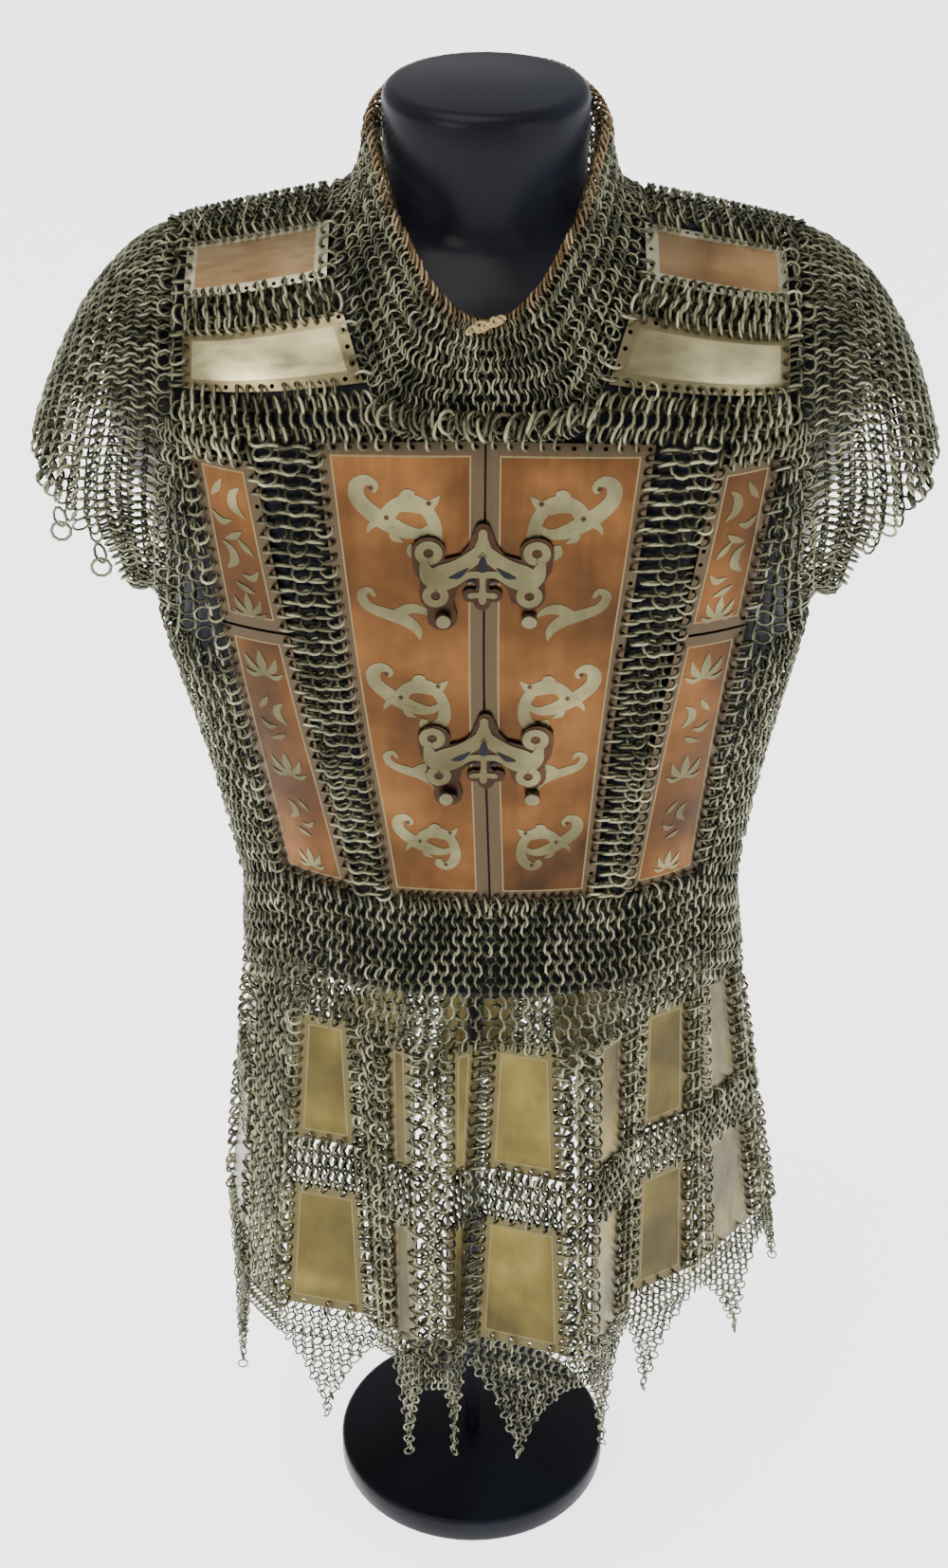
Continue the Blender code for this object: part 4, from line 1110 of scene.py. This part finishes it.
def dress_clasps():
    """Copper body of each clasp with its silver overlay, dark cut-outs and pin head."""
    for name, (x, z) in CLASPS.items():
        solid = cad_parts[name]
        repaint(solid, "clasp")
        shape = bmesh.new()
        shape.from_mesh(solid.data)
        shape.transform(solid.matrix_world)
        tree = BVHTree.FromBMesh(shape)
        shape.free()

        def on_clasp(across, up, off):
            """Point off the clasp's face, or off its nearest edge beside it."""
            start = Vector((x + across / 1000, -0.4, z + up / 1000))
            hit = tree.ray_cast(start, Vector((0, 1, 0)))[0]
            if hit is None:
                hit = tree.find_nearest(Vector((start.x, CLASP_FRONT, start.z)))[0]
            return hit - Vector((0, off, 0))

        for part, finish, lift, groups in (
                ("overlay", "silver", 0.0004, ((CLASP_WING, 1), (CLASP_WING, -1), (CLASP_STEM, 1))),
                ("cut_outs", "black", 0.0008, ((CLASP_DARK, 1),))):
            drawn = bmesh.new()
            for strokes, mirror in groups:
                add_strokes(drawn, strokes, lambda x, y, rise: on_clasp(x, y, lift + rise), mirror)
            mesh = mesh_of(drawn, name + "_" + part, FINISH[finish])
            piece(name + "_" + part, mesh, "clasp_brass")
        pin = bmesh.new()
        bmesh.ops.create_cone(pin, cap_ends=True, segments=24, radius1=PIN_RADIUS,
                              radius2=0.9 * PIN_RADIUS, depth=PIN_DEPTH)
        head = on_clasp(*PIN_PLACE, PIN_DEPTH / 3)
        bmesh.ops.transform(pin, verts=pin.verts, matrix=(
            Matrix.Translation(head) @ Matrix.Rotation(math.radians(90), 4, "X")))
        mesh = mesh_of(pin, name + "_pin_head", FINISH["brass"])
        soften(mesh, 40)
        piece(name + "_pin_head", mesh, "clasp_brass")
    for name in ("stud_upper", "stud_lower"):
        repaint(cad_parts[name], "brass")


def window(side, start, end, low, high):
    """Stretch of the coat between two lines and two heights, less the gap round a plate."""
    return coat_patch(side, moved(start, WINDOW_GAP), moved(end, -WINDOW_GAP),
                      low + WINDOW_GAP, high - WINDOW_GAP)


def make_plates():
    plates = {}

    def add(name, place, core, finish, slot, cells, drilled=(True,) * 4):
        plates[name] = Plate(name, place, core, FINISH[finish], slot, cells, drilled)

    breast, inner, outer = line("breast_outer"), line("side_inner"), line("side_outer")
    centre_line = moved(straight(CENTRE_GAP), -WINDOW_GAP)
    rear_inner, rear_outer = behind(inner), behind(straight(BACK_STRIP_HALF))
    low, split, top = FRONT_LOW + PLATE_RAISE, SIDE_SPLIT, SIDE_FRONT_TOP
    for side, label in SIDES:
        for name, start, end, foot, head, finish, cells, drilled in (
                ("breast_", centre_line, breast, low, FRONT_HIGH, "copper", (11, 38), (0, 1, 1, 1)),
                ("side_front_lower_", inner, outer, low, split, "copper", (7, 23), (1, 1, 1, 0)),
                ("side_front_upper_", inner, outer, split, top, "copper", (6, 13), (1, 1, 0, 1)),
                ("side_", side_line, behind(side_line), low, SIDE_PLATE_TOP, "pale", (6, 19),
                 (1, 1, 1, 1)),
                ("back_", rear_inner, rear_outer, low, top, "copper", (12, 36), (1, 1, 1, 1))):
            add(name + "plate_" + label, window(side, start, end, foot, head), torso_core, finish,
                finish + "_plate", cells, drilled)
        for row, heights in SHOULDER_ROWS.items():
            add("shoulder_%s_plate_%s" % (row, label),
                window(side, yoke_line, straight(SHOULDER_PLATE_OUTER), *heights),
                shoulder_core, "worn" if row == "upper" else "nickel", "nickel_plate", (16, 5))
    bands = (("upper", UPPER_PLATE_BOTTOM, SKIRT_TOP),
             ("lower", LOWER_PLATE_BOTTOM, LOWER_PLATE_TOP))
    for number, post in enumerate(range(0, len(SKIRT) - 1, 2)):
        width = post_width(post, SKIRT_TOP)
        edge = SKIRT_GAP / width
        for band, bottom, top in bands:
            add("skirt_%s_plate_%02d" % (band, number + 1),
                skirt_patch(post + edge, post + 1 - edge, bottom + WINDOW_GAP, top - WINDOW_GAP),
                torso_core, "olive", "olive_brass_plate", (max(4, round(width / 0.0075)), 12))
    return plates


# Nets

def net_piece(name, parts, slot, solid):
    """Joins the rings of one net: parts are (net, kind, finish, sides)."""
    joined = bmesh.new()
    for number, (net, kind, finish, sides) in enumerate(parts):
        start = len(joined.faces)
        mesh = ring_mesh(net, name, kind, FINISH[finish], sides, FIRST_SEED + number)
        joined.from_mesh(mesh)
        bpy.data.meshes.remove(mesh)
        joined.faces.ensure_lookup_table()
        for face in joined.faces[start:]:
            face.material_index = number
    mesh = mesh_of(joined, name, *(FINISH[part[2]] for part in parts))
    shown = piece(name, mesh, slot, solid)


def near_parts(heavy, common, links):
    """Parts of a net that is seen from near, with its rings' and wires' sides."""
    return ((heavy, "heavy", "heavy", (12, 5)), (common, "common", "mail", (9, 4)),
            (links, "link", "link", (10, 4)))


def strip_rings(net, place, pitch, inset, step):
    """Thick rings between two plates: s across the strip and t along it, in half steps."""
    number = 2 * round(run_length(lambda t: place(0.5, t)) / pitch)
    for row in range(number):
        half, t = row % 2, (row + 1) / number
        width = (place(1.0, t) - place(0.0, t)).length
        across = max(1, round((width - 2 * inset) / step))
        for column in range(half, across, 2):
            s = (inset + (width - 2 * inset) * (column + 0.5) / across) / width
            point, wide, up, normal = surface_frame(place, torso_core, s, t)
            lean = math.radians(STEEP_LEAN if half else -STEEP_LEAN)
            axis = normal * math.cos(lean) + up.normalized() * math.sin(lean)
            net.append((point + normal * HEAVY_LIFT, shaken(ring_turn(wide, axis), TIGHT), 1.0))


def clear_patch(side, start, end, low, high, margins):
    """Coat patch kept clear of plates: margins at start, end, low and high."""
    return coat_patch(side, moved(start, margins[0]), moved(end, -margins[1]),
                      low + margins[2], high - margins[3])


def cover(net, side, core, pitches, stretches):
    """Woven rings over stretches of the coat: rows of start, end, low, high and margins."""
    for stretch in stretches:
        place = clear_patch(side, *stretch)
        rows, columns = counts(place, *pitches)
        lay(net, place, core, rows, columns, WOVEN_LEAN, WOVEN_LIFT)


def torso_nets(plates):
    breast, inner, outer = line("breast_outer"), line("side_inner"), line("side_outer")
    rear_side, rear_outer = behind(side_line), behind(inner)
    edge = 0.0035
    for side, label in SIDES:
        heavy, common = [], []
        strip_rings(heavy, coat_patch(side, breast, inner, FRONT_LOW, FRONT_HIGH),
                    0.0079, 0.003, 0.0072)
        lay(heavy, clear_patch(side, inner, outer, SIDE_FRONT_TOP, FRONT_HIGH, (0, 0, 0.002, 0)),
            torso_core, 2, 7, 55, HEAVY_LIFT)
        cover(common, side, torso_core, COMMON_PITCHES, (
            (outer, arm_line, ARM_BOTTOM, FRONT_HIGH, (0.001, 0, 0, 0)),
            (outer, side_line, FRONT_LOW, ARM_BOTTOM, (0.001, 0.001, 0.003, 0)),
            (side_line, rear_side, SIDE_PLATE_TOP, ARM_BOTTOM, (0, 0, edge, 0))))
        links = link_rings(plates, [name + "plate_" + label for name in (
            "breast_", "side_front_lower_", "side_front_upper_", "side_")])
        net_piece("front_rings_" + label,
                  near_parts(heavy, common, links),
                  "aged_mail", "front_mail_" + label)
    back, strip = [], behind(straight(BACK_STRIP_HALF))
    for side, _ in SIDES:
        cover(back, side, torso_core, BACK_PITCHES, (
            (strip, middle_line, FRONT_LOW, FRONT_HIGH, (edge, 0, 0.003, 0)),
            (rear_outer, strip, SIDE_FRONT_TOP, FRONT_HIGH, (0, 0, edge, 0)),
            (behind(arm_line), rear_outer, ARM_BOTTOM, FRONT_HIGH, (0, edge, 0, 0)),
            (rear_side, rear_outer, FRONT_LOW, ARM_BOTTOM, (edge, edge, 0.003, 0))))
    links = link_rings(plates, ["back_plate_right", "back_plate_left"])
    net_piece("back_rings", ((back, "common", "mail", (8, 3)), (links, "link", "link", (9, 4))),
              "aged_mail", "back_mail")


def yoke_nets(plates):
    (low_foot, low_head), (high_foot, high_head) = SHOULDER_ROWS["lower"], SHOULDER_ROWS["upper"]
    plate_outer, nape = straight(SHOULDER_PLATE_OUTER), behind(straight(NAPE_X))
    edge = 0.004
    for side, label in SIDES:
        heavy, common = [], []
        for low, high in ((YOKE_LOW, low_foot), (low_head, high_foot)):
            place = clear_patch(side, yoke_line, plate_outer, low, high, (0, 0, 0.001, edge))
            _, columns = counts(place, 0.006, 1.0)
            lay(heavy, place, shoulder_core, 3, columns, STEEP_LEAN, HEAVY_LIFT)
        cover(common, side, shoulder_core, COMMON_PITCHES, (
            (yoke_line, plate_outer, high_head, RIDGE, (0, 0, edge, 0)),
            (plate_outer, arm_line, YOKE_LOW, RIDGE, (0.002, 0, 0, 0)),
            (behind(arm_line), nape, YOKE_LOW, RIDGE, (0, 0, 0, 0)),
            (nape, middle_line, YOKE_LOW, low_head, (0, 0, 0, 0))))
        links = link_rings(plates, ["shoulder_%s_plate_%s" % (row, label) for row in SHOULDER_ROWS])
        net_piece("yoke_rings_" + label,
                  near_parts(heavy, common, links),
                  "aged_mail", "yoke_mail_" + label)


def sleeve_nets():
    for side, label in SIDES:
        net, place = [], sleeve_patch(side, label)
        rows, columns = counts(place, 0.0058, SLEEVE_PITCH)
        lay(net, place, sleeve_core, rows, columns, 45, pitch=SLEEVE_PITCH)
        for s in HANGING[label]:
            for link in (1, 2):
                turn = ring_turn(Vector((0, 0, 1)), Vector((link % 2, 1, 0)))
                net.append((place(s, 1.0) - Vector((0, 0, 0.0088 * link)), shaken(turn), 1.1))
        net_piece("sleeve_rings_" + label, ((net, "common", "mail", (9, 4)),), "aged_mail",
                  "sleeve_mail_" + label)


def collar_nets():
    """The standing band, its bronzed edge row and the bundle of larger rings below it."""
    net, rim, bundle = [], [], []
    for side, _ in SIDES:
        place = collar_patch(side)
        rows, columns = counts(place, 0.0062, 0.0064)
        lay(net, place, collar_core, rows, columns, WOVEN_LEAN, 0.0018, size=0.9)
        number = round(run_length(lambda s: place(s, 1.0), 40) / RIM_PITCH)
        for i in range(number):
            point, along, up, normal = surface_frame(place, collar_core, (i + 0.5) / number, 1.0)
            axis = along.normalized() * 0.75 + normal * 0.6
            rim.append((point - up.normalized() * 0.0015, shaken(ring_turn(up, axis)), 1.0))
    for i in range(BUNDLE_RINGS):
        x = mix(-BUNDLE_HALF, BUNDLE_HALF, i / (BUNDLE_RINGS - 1))
        side = 1 if x >= 0 else -1
        h = FRONT_HIGH + 0.004 + 0.009 * (abs(x) / BUNDLE_HALF) ** 2 + 0.003 * (i % 2)
        point = coat_point(side, girth_at(abs(x), LINK), h)
        normal = (point - torso_core(point)).normalized()
        lean = math.radians(random.uniform(15, 50))
        axis = Vector((math.cos(lean), 0, 0)) + normal * math.sin(lean)
        turn = ring_turn(Vector((0.3 * side, 0, 1)), axis)
        bundle.append((point + normal * (0.0035 + 0.002 * (i % 3)), shaken(turn, 0.2), 1.15))
    net_piece("collar_rings", ((net, "common", "mail", (9, 4)), (rim, "link", "bronze", (10, 4)),
                               (bundle, "heavy", "link", (12, 5))),
              "bronzed_mail", "collar_mail")


def waist_net():
    net = []
    for side, _ in SIDES:
        place = waist_patch(side)
        _, columns = counts(place, 0.0064, 1.0)
        rows = math.ceil((place(0.0, 1.0) - place(0.0, 0.0)).length / WAIST_PITCH)
        lay(net, place, torso_core, rows, columns, 46, 0.003, pitch=WAIST_PITCH)
    net_piece("waist_rings", ((net, "common", "mail", (9, 4)),), "aged_mail",
              "waist_mail")


def post_width(post, z):
    return (post_point(post + 1, z) - post_point(post, z)).length


def skirt_nets(plates):
    """Strips beside the plates, bands between them, and the hem of fine rings."""
    net, fine, common = [], [], []
    for post in range(len(SKIRT) - 1):
        width = post_width(post, UPPER_PLATE_BOTTOM)
        hem = skirt_patch(post, post + 1, LOWER_PLATE_BOTTOM, HEM_NOTCH)
        if post % 2:
            place = skirt_patch(post, post + 1, SKIRT_TOP, LOWER_PLATE_BOTTOM)
            rows, _ = counts(place, 1.0, 0.0058)
            lay(net, place, torso_core, rows, max(2, round(width / 0.0078)), 33, 0.001)
            lay(fine, hem, torso_core, 5, max(2, round(width / 0.0046)), 40)
        else:
            place = skirt_patch(post, post + 1, UPPER_PLATE_BOTTOM, LOWER_PLATE_TOP)
            lay(common, place, torso_core, 6, max(3, round(width / 0.0052)), 50, 0.0005)
            lay(fine, hem, torso_core, 5, max(4, round(width / 0.0044)), HEM_LEAN)
            dag_rings(fine, post, width)
    links = link_rings(plates, [name for name in plates if name.startswith("skirt_")])
    net_piece("skirt_rings", ((net, "skirt", "heavy", (9, 4)), (common, "heavy", "mail", (9, 3)),
                              (links, "link", "link", (8, 3))),
              "aged_mail", "skirt_mail")
    net_piece("hem_rings", ((fine, "fine", "mail", (8, 3)),), "aged_mail",
              "skirt_mail")


def dag_rings(net, post, width):
    """Pointed end under a plate: each row is shorter, down to hanging single rings."""
    tip = HEM_TIPS.get(post, 0.5)
    for row in range(round(DAG_DEPTH / DAG_FALL) + 1):
        drop = row * DAG_FALL
        share = 0.5 * drop / DAG_SHOULDER
        if drop >= DAG_SHOULDER:
            share = min(0.5 + 0.5 * (drop - DAG_SHOULDER) / (DAG_DEPTH - DAG_SHOULDER), 1.0)
        start, end = tip * share, 1 - (1 - tip) * share
        count = max(1, round(width * (end - start) / DAG_PITCH))
        for column in range(count):
            s = mix(start, end, (column + 0.5) / count)
            point, before, after = (post_point(post + at, HEM_NOTCH - drop)
                                    for at in (s, max(s - 0.1, 0.0), min(s + 0.1, 1.0)))
            along = (after - before).normalized()
            normal = along.cross(Vector((0, 0, 1))).normalized()
            lean = math.radians(HEM_LEAN if count > 1 else 75 * (row % 2))
            way = 1 if row % 2 else -1
            axis = normal * math.cos(lean) + along * (way * math.sin(lean))
            net.append((point, shaken(ring_turn(Vector((0, 0, 1)), axis), 0.14), 1.0))


# Stand

def stand_copy(name):
    """A welded, smooth copy of one of the stand's solids."""
    shape = bmesh.new()
    shape.from_mesh(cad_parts[name].data)
    bmesh.ops.remove_doubles(shape, verts=shape.verts, dist=0.00001)
    mesh = mesh_of(shape, name + "_painted", FINISH["black"])
    if "custom_normal" in mesh.attributes:
        mesh.attributes.remove(mesh.attributes["custom_normal"])
    soften(mesh, 50)
    piece(name + "_painted", mesh, "black_stand", name)


def tie_twine():
    """Knotted scrap of straw-coloured twine that closes the neck."""
    curve = bpy.data.curves.new("twine_knot", "CURVE")
    curve.dimensions, curve.bevel_depth, curve.bevel_resolution = "3D", TWINE_RADIUS, 1
    for x, y, z, radius, turn in TWINE_LOOPS:
        spline = curve.splines.new("POLY")
        spline.points.add(TWINE_STEPS + 1)
        for i, point in enumerate(spline.points):
            angle = turn + 2 * math.pi * i / TWINE_STEPS
            point.co = (x + radius * math.cos(angle), y - 0.0018 * math.sin(2 * angle + turn),
                        z + 0.55 * radius * math.sin(angle + turn), 1.0)
    mesh = plain_mesh("twine_loops", curve)
    made, tree, shader = new_material("twine", (0.4, 0.28, 0.13), 0.85, 0.0)
    fibres = noise(tree, 900.0, 3.0)
    dress(tree, shader, ramp(tree, fibres, (0.35, (0.2, 0.13, 0.055)), (0.65, (0.46, 0.34, 0.17))))
    bump(tree, shader, fibres, 0.5, 0.0006)
    mesh.materials.clear()
    mesh.materials.append(made)
    knot = bpy.data.objects.new("twine_knot", mesh)
    bpy.context.scene.collection.objects.link(knot)
    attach(knot, BODY)


# Stage

def add_stage():
    bpy.ops.mesh.primitive_plane_add(size=14.0, location=(0.0, 3.0, 0.0))
    floor = bpy.context.object
    floor.name = "floor"
    made, _, shader = new_material("floor_white", (0.93, 0.93, 0.93), 0.7, 0.0)
    shader.inputs["Emission Color"].default_value = (1.0, 1.0, 1.0, 1.0)
    shader.inputs["Emission Strength"].default_value = 2.4
    floor.data.materials.append(made)
    world = bpy.data.worlds.new("studio")
    world.use_nodes = True
    sky = world.node_tree.nodes["Background"]
    sky.inputs["Color"].default_value = (0.95, 0.97, 1.0, 1.0)
    sky.inputs["Strength"].default_value = 0.8
    bpy.context.scene.world = world
    for name, place, aim, size, power, colour in LAMPS:
        data = bpy.data.lights.new(name, "AREA")
        data.size, data.energy, data.color = size, power, colour
        lamp = bpy.data.objects.new(name, data)
        lamp.location = place
        lamp.rotation_euler = (Vector(aim) - Vector(place)).to_track_quat("-Z", "Y").to_euler()
        bpy.context.scene.collection.objects.link(lamp)


def add_camera():
    data = bpy.data.cameras.new("camera")
    data.lens, data.sensor_width = CAMERA_LENS, 36.0
    camera = bpy.data.objects.new("camera", data)
    pitch, roll = math.radians(90 - CAMERA_PITCH), math.radians(CAMERA_ROLL)
    camera.matrix_world = (Matrix.Translation(CAMERA_PLACE) @ Matrix.Rotation(pitch, 4, "X")
                           @ Matrix.Rotation(roll, 4, "Z"))
    bpy.context.scene.collection.objects.link(camera)
    bpy.context.scene.camera = camera


TREE = ring_tree()
add_camera()
add_stage()
tie_twine()
for stand_piece in ("base_disc", "pole", "dress_form"):
    stand_copy(stand_piece)
all_plates = make_plates()
for a_plate in all_plates.values():
    a_plate.build()
torso_nets(all_plates)
yoke_nets(all_plates)
sleeve_nets()
collar_nets()
waist_net()
skirt_nets(all_plates)
make_inlays(all_plates)
dress_clasps()
